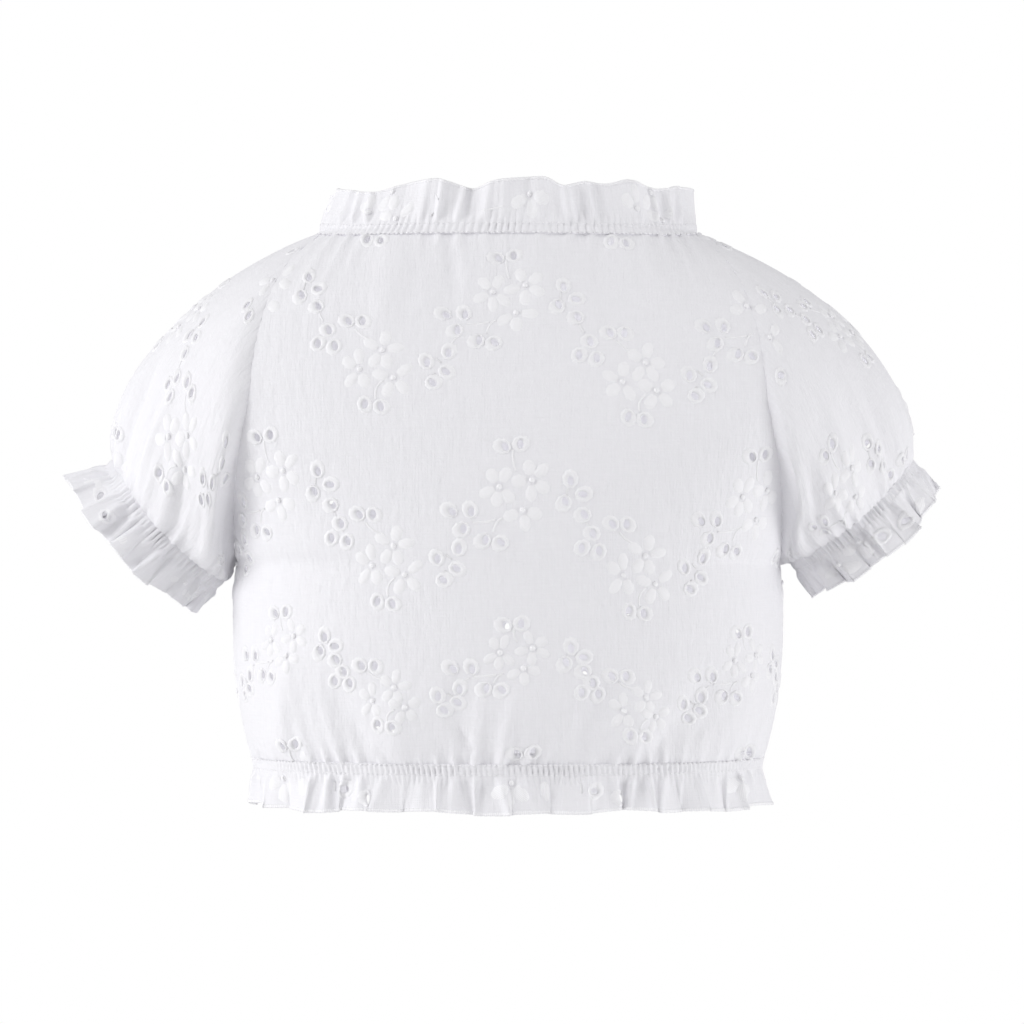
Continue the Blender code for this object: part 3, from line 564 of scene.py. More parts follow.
def neck_height(angle):
    """The height of the neck line, which dips from the back seam round to the middle of the front."""
    from_back = np.abs((np.asarray(angle) + 180.0) % 360.0 - 180.0)
    t = np.clip((from_back - BACK_SEAM_ANGLE) / (180.0 - BACK_SEAM_ANGLE), 0.0, 1.0)
    return -NECK_DROP * t * t * (3.0 - 2.0 * t)


def neck_line(angle):
    """A point of the neck line."""
    turn = np.radians(angle)
    depth = np.where(np.cos(turn) > 0.0, NECK_BACK, NECK_FRONT)
    x = NECK_HALF_WIDTH * np.sin(turn)
    y = NECK_MIDDLE_Y + depth * np.cos(turn)
    return np.stack([x, y, neck_height(angle)], axis=-1)


def hem_line(angle):
    """A point of the hem line, between the back and the front panel's last rows."""
    turn = np.radians(angle)
    side_x = BACK["rows"][-1][1]
    side_y = BACK["rows"][-1][2]
    back = BACK["rows"][-1][3] - side_y
    front = side_y - FRONT["rows"][-1][3]
    depth = np.where(np.cos(turn) > 0.0, back, front)
    height = np.full_like(turn, -HEM_DROP)
    return np.stack([side_x * np.sin(turn), side_y + depth * np.cos(turn), height], axis=-1)


class Cuff:
    """The line where one sleeve is gathered, laid out as on the left side."""

    def __init__(self, side):
        row = next(row for row in CUFFS["rows"] if row[0] == side)
        outer = np.array((row[1], CUFF_MIDDLE_Y, -row[2]))
        inner = np.array((row[3], CUFF_MIDDLE_Y, -row[4]))
        self.middle = (outer + inner) / 2.0
        self.half_length = np.linalg.norm(outer - inner) / 2.0
        self.outward = (outer - inner) / (2.0 * self.half_length)
        self.way = np.array((self.outward[2], 0.0, -self.outward[0]))

    def line(self, angle):
        """A point of the line; 0 degrees is its outer end and 90 its back."""
        turn = np.radians(angle)[..., None]
        depth = np.array((0.0, CUFF_HALF_DEPTH, 0.0))
        ring = self.outward * self.half_length * np.cos(turn) + depth * np.sin(turn)
        return self.middle + ring + self.way * CUFF_BOW * np.sin(turn) ** 2


def body_point(table, across, drop):
    """A point of the back or front; across runs from -1 to 1 between its seams."""
    turn = np.radians(read(table, "turn", drop))
    angle = across * turn
    seam_y = read(table, "seam_y", drop)
    middle_y = read(table, "middle_y", drop)
    x = read(table, "seam_x", drop) * np.sin(angle) / np.sin(turn)
    y = middle_y - (middle_y - seam_y) * (1.0 - np.cos(angle)) / (1.0 - np.cos(turn))
    z = -drop
    if "dip" in table["columns"]:
        middle = neck_height(180.0)
        seam = neck_height(FRONT_SEAM_ANGLE)
        here = neck_height(180.0 - np.abs(across) * (180.0 - FRONT_SEAM_ANGLE))
        z = z - read(table, "dip", drop) * (here - seam) / (middle - seam)
    return np.stack([x, y, z], axis=-1)


def seam_drops(table, count):
    """Levels evenly spaced along a raglan seam, from the neck to the underarm."""
    drops = np.linspace(table["rows"][0][0], UNDERARM_DROP, 200)
    along = lengths_along(body_point(table, np.ones_like(drops), drops))
    return np.interp(np.linspace(0.0, along[-1], count), along, drops)


def even_columns(points):
    """The same rows of points, each spaced evenly along its length, and the rows' lengths."""
    spaced = np.empty_like(points)
    widths = np.empty(len(points))
    for row, line in enumerate(points):
        along = lengths_along(line)
        widths[row] = along[-1]
        even = np.linspace(0.0, along[-1], len(line))
        for axis in range(3):
            spaced[row, :, axis] = np.interp(even, along, line[:, axis])
    return spaced, widths


def grid_normals(points):
    """The normals of a grid of points whose columns run to the right and rows down, seen from outside."""
    down = np.gradient(points, axis=0)
    right = np.gradient(points, axis=1)
    return unit(np.cross(down, right))


def fold_height(folds, x, y):
    """How far the folds lift the cloth at flat points; each fades out at its sides and its ends."""
    height = np.zeros_like(x)
    for middle_x, middle_y, lean, length, half_width, depth in folds["rows"]:
        turn = math.radians(lean)
        beside = (x - middle_x) * math.cos(turn) + (y - middle_y) * math.sin(turn)
        along = (y - middle_y) * math.cos(turn) - (x - middle_x) * math.sin(turn)
        height += depth * np.exp(-((beside / half_width) ** 2) - (2.0 * along / length) ** 4)
    return height


class Gathers:
    """The gathers along one elastic, by the phase round it: many fine ones, and broad ones that run on."""

    def __init__(self, name):
        row = next(row for row in GATHERS["rows"] if row[0] == name)
        for column, value in zip(GATHER_COLUMNS, row[1:]):
            setattr(self, column, value)

    def fine_wave(self, phase):
        """Sharp valleys between round ribs, from -1 to 1."""
        drift = 1.3 * np.sin(7.0 * phase + self.start) + 0.9 * np.sin(19.0 * phase - self.start)
        swell = 0.74 + 0.26 * np.sin(11.0 * phase + 2.0 * self.start)
        return swell * (2.0 * np.abs(np.sin(0.5 * (self.fine * phase + drift))) ** 0.8 - 1.0)

    def broad_wave(self, phase, distance):
        """Broad folds that lean and merge as they run on."""
        leaning = phase + 0.0016 * distance * np.sin(4.0 * phase + self.start)
        drift = 1.5 * np.sin(5.0 * leaning - self.start) + 1.1 * np.sin(13.0 * leaning + self.start)
        swell = 0.6 + 0.4 * np.sin(9.0 * leaning - 3.0 * self.start)
        wave = np.sin(self.broad * leaning + drift)
        return swell * (wave - 0.35 * np.cos(2.0 * (self.broad * leaning + drift)))

    def height(self, phase, distance):
        """The lift at a distance from the elastic, sunk in and still where it is stitched."""
        distance = np.maximum(distance, 0.0)
        reach = self.broad_reach * (1.0 + 0.45 * np.sin(6.0 * phase + self.start))
        fine = self.fine_height * self.fine_wave(phase) * np.exp(-distance / self.fine_reach)
        broad = self.broad_height * self.broad_wave(phase, distance) * np.exp(-((distance / reach) ** 1.5))
        held = 0.35 + 0.65 * np.clip(distance / 4.0, 0.0, 1.0)
        return fine + broad * held


NECK_GATHERS = Gathers("neck")
HEM_GATHERS = Gathers("hem")
CUFF_GATHERS = {1.0: Gathers("left_cuff"), -1.0: Gathers("right_cuff")}


def sink(distance, depth):
    """How far the cloth sinks in towards a seam or a gathered edge."""
    return -depth * np.exp(-((distance / SEAM_HALF_WIDTH) ** 2))


def all_folds(large, soft, x, y, clear):
    """The large folds of the form, and the cloth's own small ones, still at the edges."""
    kept = fold_height(large, x, y) * np.clip(clear / FOLD_FADE, 0.0, 1.0)
    return kept + fold_height(soft, x, y) * np.clip(clear / SOFT_FADE, 0.0, 1.0)


class Loop:
    """A closed gathered line by its length, which starts at angle 0 and grows with the angle."""

    def __init__(self, line, even):
        self.line = line
        self.angles = np.linspace(-180.0, 180.0, 1441)
        along = lengths_along(line(self.angles))
        self.length = along[-1]
        middle = self.angles.size // 2
        if even:
            self.along = self.angles * self.length / 360.0
        else:
            self.along = along - along[middle]

    def angle(self, along):
        return np.interp(along, self.along, self.angles)

    def distance(self, angle):
        return np.interp(angle, self.angles, self.along)

    def phase(self, along):
        return math.tau * along / self.length


NECK_LOOP = Loop(neck_line, False)
HEM_LOOP = Loop(hem_line, False)
SEAM_LEVELS = {"back": seam_drops(BACK, 100), "front": seam_drops(FRONT, 100)}


class Cloth:
    """What every cloth can do, once it says where its flat points go."""

    def normal(self, x, y):
        """The outward direction of the finished surface."""
        step = 0.25
        down = self.place(x, y + step) - self.place(x, y - step)
        right = self.place(x + step, y) - self.place(x - step, y)
        return unit(np.cross(down, right))

    def wrap(self, x, y, lift):
        """The places of points that lie this far above the cloth."""
        return self.place(x, y) + self.normal(x, y) * lift[:, None]


class BodyPanel(Cloth):
    """The back or the front, from its flat layout to its place on the worn form."""

    def __init__(self, table, folds, soft_folds, facing, loop_start):
        self.table = table
        self.folds = folds
        self.soft_folds = soft_folds
        self.loop_start = loop_start
        first = table["rows"][0][0]
        self.drops = np.linspace(first, HEM_DROP, SURFACE_STEPS)
        across = -facing * np.linspace(-1.0, 1.0, SURFACE_STEPS + 1)
        levels = np.repeat(self.drops[:, None], across.size, axis=1)
        points = body_point(table, across[None, :], levels)
        self.down = lengths_along(points[:, SURFACE_STEPS // 2])
        self.grid, widths = even_columns(points)
        self.half_widths = widths / 2.0
        self.normals = grid_normals(self.grid)
        self.length = self.down[-1]

    def half_width(self, y):
        return np.interp(y, self.down, self.half_widths)

    def fractions(self, x, y):
        rows = np.linspace(0.0, 1.0, self.down.size)
        return 0.5 + 0.5 * x / self.half_width(y), np.interp(y, self.down, rows)

    def height(self, x, y):
        to_side = self.half_width(y) - np.abs(x)
        to_gathers = np.minimum(y, self.length - y)
        clear = np.minimum(to_gathers, to_side)
        folds = all_folds(self.folds, self.soft_folds, x, y, clear)
        share = x / self.half_width(y)
        neck = NECK_LOOP.phase(self.loop_start * NECK_LOOP.length - share * self.half_widths[0])
        hem = HEM_LOOP.phase(self.loop_start * HEM_LOOP.length - share * self.half_widths[-1])
        gathers = NECK_GATHERS.height(neck, y) + HEM_GATHERS.height(hem, self.length - y)
        beside = np.clip(to_side / 6.0, 0.0, 1.0)
        pucker = 0.18 * np.sin(y * 0.9 + 1.3 * np.sin(y * 0.21)) * np.exp(-to_side / 4.0)
        return folds + gathers * beside + pucker + sink(to_side, SEAM_SINK) + sink(to_gathers, GATHER_SINK)

    def place(self, x, y):
        base = unit(lookup(self.normals, *self.fractions(x, y)))
        return lookup(self.grid, *self.fractions(x, y)) + base * self.height(x, y)[:, None]

    def clear(self, x, y):
        return np.minimum(np.minimum(y, self.length - y), self.half_width(y) - np.abs(x))

    def on_grid(self, x, y):
        """Whether the even grid reaches here, clear of the rows along the edges."""
        to_gathers = np.minimum(y, self.length - y)
        return (to_gathers > GATHER_ZONE) & (self.half_width(y) - np.abs(x) > SEAM_ZONE)

    def extent(self):
        return self.half_widths.max(), 0.0, self.length

    def outline(self):
        """The flat outline, anticlockwise."""
        pitch = GATHER_ROWS["rows"][0][1]
        side_y = np.linspace(0.0, self.length, round(self.length / SEAM_PITCH))
        side_x = self.half_width(side_y)
        neck = np.linspace(-1.0, 1.0, round(2.0 * side_x[0] / pitch))[1:-1] * side_x[0]
        hem = np.linspace(1.0, -1.0, round(2.0 * side_x[-1] / pitch))[1:-1] * side_x[-1]
        right = list(zip(side_x, side_y))
        left = list(zip(-side_x[::-1], side_y[::-1]))
        top = [(x, 0.0) for x in neck]
        bottom = [(x, self.length) for x in hem]
        return top + right + bottom + left

    def edge_points(self):
        """Rows of points along the gathers and beside the seams."""
        points = []
        for distance, pitch in GATHER_ROWS["rows"]:
            for y in (distance, self.length - distance):
                half = float(self.half_width(y)) - SEAM_ZONE
                points += [(x, y) for x in np.linspace(-half, half, round(2.0 * half / pitch))]
        for distance in SEAM_ROWS:
            for y in np.arange(1.0, self.length - 1.0, SEAM_PITCH):
                x = float(self.half_width(y)) - distance
                points += [(x, y), (-x, y)]
        return points


class Sleeve(Cloth):
    """One sleeve, from its flat layout to its place on the worn form."""

    def __init__(self, side):
        self.side = side
        angles = np.linspace(-180.0, 180.0, 2 * SURFACE_STEPS + 1)
        starts = np.array([self.armhole(angle) for angle in angles])
        cuff = Cuff(side)
        ends = cuff.line(angles)
        size = np.abs(angles)
        leave = np.stack([read(PUFF, name, size) for name in ("leave_x", "leave_y", "leave_z")], axis=-1)
        leave[:, 1] *= np.sign(angles)
        span = np.linalg.norm(ends - starts, axis=-1, keepdims=True)
        leave = unit(leave) * span * read(PUFF, "pull", size)[:, None]
        bow = cuff.way * CUFF_BOW * np.sin(np.radians(angles))[:, None] ** 2
        outward = unit(ends - cuff.middle - bow)
        bulge = read(PUFF, "bulge", size)[:, None]
        arrive = span * (cuff.way * SLEEVE_REACH - outward * bulge)
        t = np.linspace(0.0, 1.0, SURFACE_STEPS)[None, :, None]
        lines = hermite(starts[:, None], ends[:, None], leave[:, None], arrive[:, None], t)
        spaced, self.lengths = even_columns(lines)
        self.angles = angles
        self.length = self.lengths[SURFACE_STEPS]
        self.grid = spaced.transpose(1, 0, 2)
        self.normals = grid_normals(self.grid)
        fold = unit(self.normals[:, 0] + self.normals[:, -1])
        self.normals[:, 0] = fold
        self.normals[:, -1] = fold

    @staticmethod
    def armhole(angle):
        """A point of the line where the sleeve begins: the neck line, then a raglan seam."""
        size = abs(angle)
        if size <= SLEEVE_NECK_ANGLE:
            middle = (BACK_SEAM_ANGLE + FRONT_SEAM_ANGLE) / 2.0
            half = (FRONT_SEAM_ANGLE - BACK_SEAM_ANGLE) / 2.0
            return neck_line(middle - half * angle / SLEEVE_NECK_ANGLE)
        table = BACK if angle > 0.0 else FRONT
        drops = SEAM_LEVELS["back" if angle > 0.0 else "front"]
        share = (size - SLEEVE_NECK_ANGLE) / (180.0 - SLEEVE_NECK_ANGLE)
        drop = np.interp(share, np.linspace(0.0, 1.0, drops.size), drops)
        return body_point(table, 1.0, drop)

    def angle(self, x):
        return self.side * x * 360.0 / SLEEVE_WIDTH

    def top(self, x):
        """The flat y where the sleeve begins at this x."""
        return self.length - np.interp(self.angle(x), self.angles, self.lengths)

    def slant(self, x):
        """How much further along y than square to it the seam at the top is."""
        return np.hypot(1.0, (self.top(x + 1.0) - self.top(x - 1.0)) / 2.0)

    def fractions(self, x, y):
        angle = self.angle(x)
        long = np.interp(angle, self.angles, self.lengths)
        return 0.5 + angle / 360.0, 1.0 - (self.length - y) / long

    def neck_phase(self, x):
        middle = (BACK_SEAM_ANGLE + FRONT_SEAM_ANGLE) / 2.0
        half = (FRONT_SEAM_ANGLE - BACK_SEAM_ANGLE) / 2.0
        share = np.clip(self.angle(x) / SLEEVE_NECK_ANGLE, -1.0, 1.0)
        return NECK_LOOP.phase(self.side * NECK_LOOP.distance(middle - half * share))

    def height(self, x, y):
        below = y - self.top(x)
        above = self.length - y
        clear = np.minimum(below, above)
        folds = all_folds(SLEEVE_FOLDS, SOFT_SLEEVE_FOLDS, x, y, clear)
        cuff = CUFF_GATHERS[self.side].height(np.radians(self.angle(x)), above)
        at_neck = np.clip(1.25 - np.abs(self.angle(x)) / (0.9 * SLEEVE_NECK_ANGLE), 0.0, 1.0)
        neck = NECK_GATHERS.height(self.neck_phase(x), below) * at_neck
        to_seam = np.minimum(below / self.slant(x), SLEEVE_WIDTH / 2.0 - np.abs(x))
        beside = np.clip(to_seam / 6.0, 0.0, 1.0)
        pucker = 0.2 * np.sin(x * 0.8 + 1.3 * np.sin(x * 0.17)) * np.exp(-np.abs(below) / 5.0)
        return folds + cuff * beside + neck + pucker + sink(to_seam, SEAM_SINK) + sink(above, GATHER_SINK)

    def place(self, x, y):
        mirror = np.array((self.side, 1.0, 1.0))
        base = unit(lookup(self.normals, *self.fractions(x, y)))
        return (lookup(self.grid, *self.fractions(x, y)) + base * self.height(x, y)[:, None]) * mirror

    def clear(self, x, y):
        to_seam = np.minimum((y - self.top(x)) / self.slant(x), SLEEVE_WIDTH / 2.0 - np.abs(x))
        return np.minimum(to_seam, self.length - y)

    def on_grid(self, x, y):
        at_neck = np.abs(self.angle(x)) < SLEEVE_NECK_ANGLE
        to_top = (y - self.top(x)) / self.slant(x) - np.where(at_neck, GATHER_ZONE - SEAM_ZONE, 0.0)
        to_seam = np.minimum(to_top, SLEEVE_WIDTH / 2.0 - np.abs(x))
        return (to_seam > SEAM_ZONE) & (self.length - y > GATHER_ZONE)

    def extent(self):
        return SLEEVE_WIDTH / 2.0, float(self.top(np.zeros(1))[0]), self.length

    def outline(self):
        """The flat outline, anticlockwise."""
        pitch = GATHER_ROWS["rows"][0][1] * 1.6
        half = SLEEVE_WIDTH / 2.0
        top_x = np.linspace(-half, half, round(2.0 * half / pitch))
        cuff_x = top_x[::-1]
        side = np.linspace(float(self.top(half)), self.length, 12)[1:-1]
        top = list(zip(top_x, self.top(top_x)))
        right = [(half, y) for y in side]
        bottom = [(x, self.length) for x in cuff_x]
        left = [(-half, y) for y in side[::-1]]
        return top + right + bottom + left

    def edge_points(self):
        """Rows of points along the cuff's and the neck's gathers and beside the seams."""
        half = SLEEVE_WIDTH / 2.0
        points = []
        for distance, pitch in GATHER_ROWS["rows"]:
            wide = half - SEAM_ZONE
            y = self.length - distance
            points += [(x, y) for x in np.linspace(-wide, wide, round(2.0 * wide / (1.6 * pitch)))]
            neck = SLEEVE_NECK_ANGLE * SLEEVE_WIDTH / 360.0 - SEAM_ZONE
            x = np.linspace(-neck, neck, round(2.0 * neck / (1.6 * pitch)))
            points += list(zip(x, self.top(x) + distance))
        for distance in SEAM_ROWS:
            x = np.arange(-half + distance, half - distance, SEAM_PITCH)
            points += list(zip(x, self.top(x) + distance * self.slant(x)))
            side = np.arange(float(self.top(half)) + 4.0, self.length - 1.0, SEAM_PITCH)
            points += [(half - distance, y) for y in side]
            points += [(distance - half, y) for y in side]
        return points


class Edging(Cloth):
    """One gathered edge: its stitched channel over the elastic, and the ruffle beyond it.

    Its flat x runs along the loop, and its flat y away from the panel; towards is -1 where that is up.
    """

    def __init__(self, loop, gathers, way, towards, turning, shape):
        self.loop = loop
        self.gathers = gathers
        self.way = way
        self.towards = towards
        self.turning = turning
        self.shape = shape

    def phase(self, x):
        return self.loop.phase(self.turning * x)

    def place(self, x, y):
        along = self.turning * x
        half = self.loop.length / 2.0
        along = (along + half) % self.loop.length - half
        angle = self.loop.angle(along)
        step = 0.5
        onward = (self.loop.line(angle + step) - self.loop.line(angle - step)) * self.turning
        right = unit(onward)
        outward = unit(np.cross(self.way * self.towards, right))
        reach, stand, slide = self.profile(angle, self.phase(x), self.towards * y)
        base = self.loop.line(angle)
        return base + self.way * reach[:, None] + outward * stand[:, None] + right * slide[:, None]

    def profile(self, angle, phase, distance):
        """How far along its way, outward and sideways the cloth lies at a distance from the panel."""
        shape = self.shape
        channel = np.clip(distance / CHANNEL_HEIGHT, 0.0, 1.0)
        ridge = shape["ridge"] * np.sin(math.pi * channel) ** 0.5
        fine = self.gathers.fine_wave(phase + 0.0012 * distance)
        ribbed = ridge + RIB_DEPTH * (fine - 0.4) * (0.45 + 0.55 * np.sin(math.pi * channel))
        met = np.clip(distance / 1.2, 0.0, 1.0)
        edge = self.gathers.height(phase, np.zeros_like(phase)) - GATHER_SINK + 0.06
        through = edge * shape["through"]
        in_channel = ribbed * met + edge * (1.0 - met) + through * met
        under = np.clip(-distance / 0.8, 0.0, 1.0)
        past = np.maximum(distance - CHANNEL_HEIGHT, 0.0)
        started = np.clip(past / 4.5, 0.0, 1.0)
        beyond = np.clip(past / shape["height"], 0.0, 1.2)
        radians = np.radians(angle)
        turn = shape["turn"]
        uneven = 0.35 * np.sin(3.0 * radians + turn) + 0.25 * np.sin(5.0 * radians - turn)
        wave_phase = shape["waves"] * radians + turn + 1.6 * uneven
        swell = 1.0 + 0.3 * np.sin(4.0 * radians + 2.0 * turn)
        wave = shape["depth"] * (0.15 + 0.85 * beyond) * swell * np.sin(wave_phase)
        broad = shape["pleats"] * self.gathers.broad_wave(phase, past) * (1.0 - 0.45 * beyond)
        soft = broad + 0.8 * fine * np.exp(-past / 4.0)
        stopped = (RIB_DEPTH * (fine - 0.4) * 0.45 + through) * (1.0 - started)
        stand = np.where(past > 0.0, stopped, in_channel)
        stand += started * (wave + soft) + shape["lean"](angle) * shape["height"] * beyond
        height = shape["tip_height"](angle)
        round_from = np.abs((np.asarray(angle) + 180.0) % 360.0 - 180.0)
        whole_lap = read(shape["lap"], "lap", round_from)
        lap = whole_lap * np.where(past > 0.0, 1.0 - beyond, 1.0)
        reach = np.where(past > 0.0, CHANNEL_HEIGHT + height * beyond, distance) - lap
        over_panel = np.maximum(whole_lap - np.maximum(distance, 0.0), 0.0)
        clearance = LAP_CLEARANCE * np.clip(whole_lap, 0.0, 1.0) * np.exp(-past / 5.0)
        stand += over_panel * read(shape["lap"], "outward", round_from) + clearance
        stand -= (0.5 + clearance) * under
        slide = -started * shape["curl"] * beyond * np.sin(2.0 * wave_phase)
        return reach, stand, slide

    def tip(self):
        return CHANNEL_HEIGHT + self.shape["height"]

    def clear(self, x, y):
        distance = self.towards * y
        return np.minimum(distance - CHANNEL_HEIGHT, self.tip() - distance)

    def on_grid(self, x, y):
        return np.zeros(np.shape(x), dtype=bool)

    def extent(self):
        return self.loop.length / 2.0, 0.0, 0.0

    def outline(self):
        """The flat outline, from just under the panel to the ruffle's tip; its two ends meet."""
        half = self.loop.length / 2.0
        count = round(2.0 * half / GATHER_ROWS["rows"][0][1])
        line = np.linspace(-half, half, count)
        ends = np.linspace(-0.8, self.tip(), 22)
        near = [(x, self.towards * ends[0]) for x in line]
        far = [(x, self.towards * ends[-1]) for x in line[::-1]]
        right = [(half, self.towards * d) for d in ends[1:-1]]
        left = [(-half, self.towards * d) for d in ends[-2:0:-1]]
        return near + right + far + left

    def edge_points(self):
        half = self.loop.length / 2.0
        pitch = GATHER_ROWS["rows"][0][1]
        points = []
        for distance in (-0.3, 0.2, 0.7, 1.4, 2.5, 3.6, 4.3, 4.8, 5.3, 6.0, 7.0, 8.4):
            x = np.linspace(-half, half, round(2.0 * half / pitch))[1:-1]
            points += [(at, self.towards * distance) for at in x]
        for distance in np.arange(10.0, self.tip() - 0.9, 1.7):
            x = np.linspace(-half, half, round(2.0 * half / 1.1))[1:-1]
            points += [(at, self.towards * distance) for at in x]
        x = np.linspace(-half, half, round(2.0 * half / pitch))[1:-1]
        points += [(at, self.towards * (self.tip() - 0.7)) for at in x]
        return points


def cluster_places(table, width):
    """Each cluster on a cloth of this flat width: its middle, its height, and what is stitched there."""
    places = []
    for start_x, start_y, spacing, tilt, low_shift, low_drop, height in table["rows"]:
        columns = math.ceil(0.5 * width / spacing) + 1
        for column in range(-columns, columns + 1):
            across = column * spacing
            y = start_y + tilt * across
            places.append((start_x + across, y, height, HIGH_EYELETS, HIGH_FLOWERS, HIGH_STEMS))
            low_across = across + spacing / 2.0 + low_shift
            low_y = start_y + low_drop + tilt * low_across
            places.append((start_x + low_across, low_y, height, LOW_EYELETS, LOW_FLOWERS, LOW_STEMS))
    return places


def oval(angles, x, y, lean, half_width, half_length):
    """Points round an oval whose long way leans this much from straight up."""
    turn = np.radians(lean)
    along = half_length * np.cos(angles)
    beside = half_width * np.sin(angles)
    return x + beside * np.cos(turn) + along * np.sin(turn), y + beside * np.sin(turn) - along * np.cos(turn)


def stitched_eyelets(cloth, places):
    """The eyelets that fit on a cloth: each hole's middle and lean, and its rim's middle and lean."""
    eyelets = []
    for middle_x, middle_y, height, table, _, _ in places:
        for x, y, lean, rim_x, rim_y in table["rows"]:
            at_x = middle_x + x
            at_y = middle_y + y * height
            where = (np.array([at_x + rim_x]), np.array([at_y + rim_y]))
            limit = cloth.extent()[0] - RIM_HALF_LENGTH
            apart = [math.hypot(at_x - other[0], at_y - other[1]) for other in eyelets]
            inside = cloth.clear(*where)[0] > EYELET_CLEAR and abs(at_x) < limit
            if inside and min(apart, default=99.0) > EYELETS_APART:
                rim_lean = math.degrees(math.atan2(rim_x, -rim_y))
                eyelets.append((at_x, at_y, lean, at_x + rim_x, at_y + rim_y, rim_lean))
    return eyelets


def grid_points(cloth):
    """Evenly spaced points inside a cloth, clear of its edges and its holes."""
    half_width, top, bottom = cloth.extent()
    rows = np.arange(top, bottom, CLOTH_GRID * 0.866)
    columns = np.arange(-half_width, half_width, CLOTH_GRID)
    x, y = np.meshgrid(columns, rows)
    x = (x + 0.5 * CLOTH_GRID * (np.arange(rows.size) % 2)[:, None]).ravel()
    y = y.ravel()
    if x.size == 0:
        return []
    keep = cloth.on_grid(x, y)
    return list(zip(x[keep], y[keep]))


def clear_of_holes(points, eyelets):
    """The points that lie outside every hole."""
    spots = np.array(points)
    keep = np.ones(len(spots), dtype=bool)
    for x, y, _, _, _, _ in eyelets:
        keep &= np.hypot(spots[:, 0] - x, spots[:, 1] - y) > HOLE_HALF_LENGTH + 0.5
    return spots[keep]


def flat_sheet(outline, holes, points):
    """A flat mesh of triangles inside an outline, with holes."""
    corners = []
    edges = []
    loop_of_corner = []
    for number, loop in enumerate([outline] + holes):
        first = len(corners)
        count = len(loop)
        corners += [(float(x), float(y)) for x, y in loop]
        loop_of_corner += [number] * count
        edges += [(first + i, first + (i + 1) % count) for i in range(count)]
    corners += [(float(x), float(y)) for x, y in points]
    loop_of_corner += [0] * len(points)
    made = delaunay_2d_cdt([Vector(p) for p in corners], edges, [], 1, 1e-6)
    loops = [loop_of_corner[sources[0]] if sources else 0 for sources in made[3]]
    bm = bmesh.new()
    verts = [bm.verts.new((p.x, p.y, 0.0)) for p in made[0]]
    for face in made[2]:
        round_it = {loops[i] for i in face}
        if len(round_it) > 1 or 0 in round_it:
            bm.faces.new([verts[i] for i in face])
    return bm


def finish_piece(name, bm, places, uvs, material, slot):
    """Makes one object: its points go to their places, and its flat coordinates become a UV map."""
    layer = bm.loops.layers.uv.new("flat")
    bm.verts.index_update()
    for face in bm.faces:
        for corner in face.loops:
            corner[layer].uv = uvs[corner.vert.index]
    for vert, point in zip(bm.verts, places * MM):
        vert.co = point
    bmesh.ops.remove_doubles(bm, verts=bm.verts, dist=0.00001)
    bmesh.ops.recalc_face_normals(bm, faces=bm.faces[:])
    for edge in bm.edges:
        edge.smooth = not edge.is_boundary
    mesh = bpy.data.meshes.new(name)
    bm.to_mesh(mesh)
    bm.free()
    mesh.materials.append(material)
    mesh.shade_smooth()
    piece = bpy.data.objects.new(name, mesh)
    bpy.context.scene.collection.objects.link(piece)
    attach(piece, "root")
    return piece


def make_cloth(name, cloth, eyelets, material, slot):
    """A cloth with its eyelet holes cut, wrapped on the worn form and given its thickness."""
    turns = np.linspace(0.0, math.tau, HOLE_CORNERS, endpoint=False)
    holes = []
    for x, y, lean, _, _, _ in eyelets:
        around = oval(turns, x, y, lean, HOLE_HALF_WIDTH, HOLE_HALF_LENGTH)
        holes.append(list(zip(*around)))
    points = clear_of_holes(grid_points(cloth) + cloth.edge_points(), eyelets)
    bm = flat_sheet(cloth.outline(), holes, points)
    flat = np.array([tuple(v.co) for v in bm.verts])
    places = cloth.place(flat[:, 0], flat[:, 1])
    piece = finish_piece(name, bm, places, flat[:, :2] * 0.01, material, slot)
    wall = piece.modifiers.new("wall", "SOLIDIFY")
    wall.thickness = CLOTH_THICKNESS * MM
    wall.offset = -1.0
    return piece


def ring_sheet(columns, rows):
    """A flat ring of faces round the origin, from radius 1 to radius 2."""
    bm = bmesh.new()
    line = [bm.verts.new((1.0 + row / rows, 0.0, 0.0)) for row in range(rows + 1)]
    edges = [bm.edges.new(pair) for pair in zip(line, line[1:])]
    bmesh.ops.spin(
        bm,
        geom=line + edges,
        cent=(0.0, 0.0, 0.0),
        axis=(0.0, 0.0, 1.0),
        angle=math.tau,
        steps=columns,
        use_merge=True,
    )
    return bm


def template(bm):
    """A small mesh that is copied for each stitched motif, and its points."""
    mesh = bpy.data.meshes.new("stitch")
    bm.to_mesh(mesh)
    bm.free()
    return mesh, np.array([tuple(v.co) for v in mesh.vertices])


def grid_template(columns, rows):
    """A flat grid from -1 to 1 each way."""
    bm = bmesh.new()
    bmesh.ops.create_grid(bm, x_segments=columns, y_segments=rows, size=1.0)
    return template(bm)


def ball_template(columns, rows):
    """A ball of radius 1."""
    bm = bmesh.new()
    bmesh.ops.create_uvsphere(bm, u_segments=columns, v_segments=rows, radius=1.0)
    return template(bm)


class Embroidery:
    """What is stitched on one cloth, gathered into one mesh."""

    def __init__(self):
        self.bm = bmesh.new()
        self.flat = []
        self.threads = []

    def add(self, mesh, x, y, lift, across, along):
        self.bm.from_mesh(mesh)
        self.flat.append(np.stack([x, y, lift], axis=-1))
        self.threads.append(np.stack([across, along], axis=-1))

    def finish(self, name, cloth, material, slot):
        flat = np.concatenate(self.flat)
        threads = np.concatenate(self.threads)
        places = cloth.wrap(flat[:, 0], flat[:, 1], flat[:, 2])
        return finish_piece(name, self.bm, places, threads, material, slot)


RIM = template(ring_sheet(28, 5))
PETAL = grid_template(6, 6)
KNOT = ball_template(8, 6)
STEM = grid_template(3, 10)
STITCH = ball_template(6, 4)


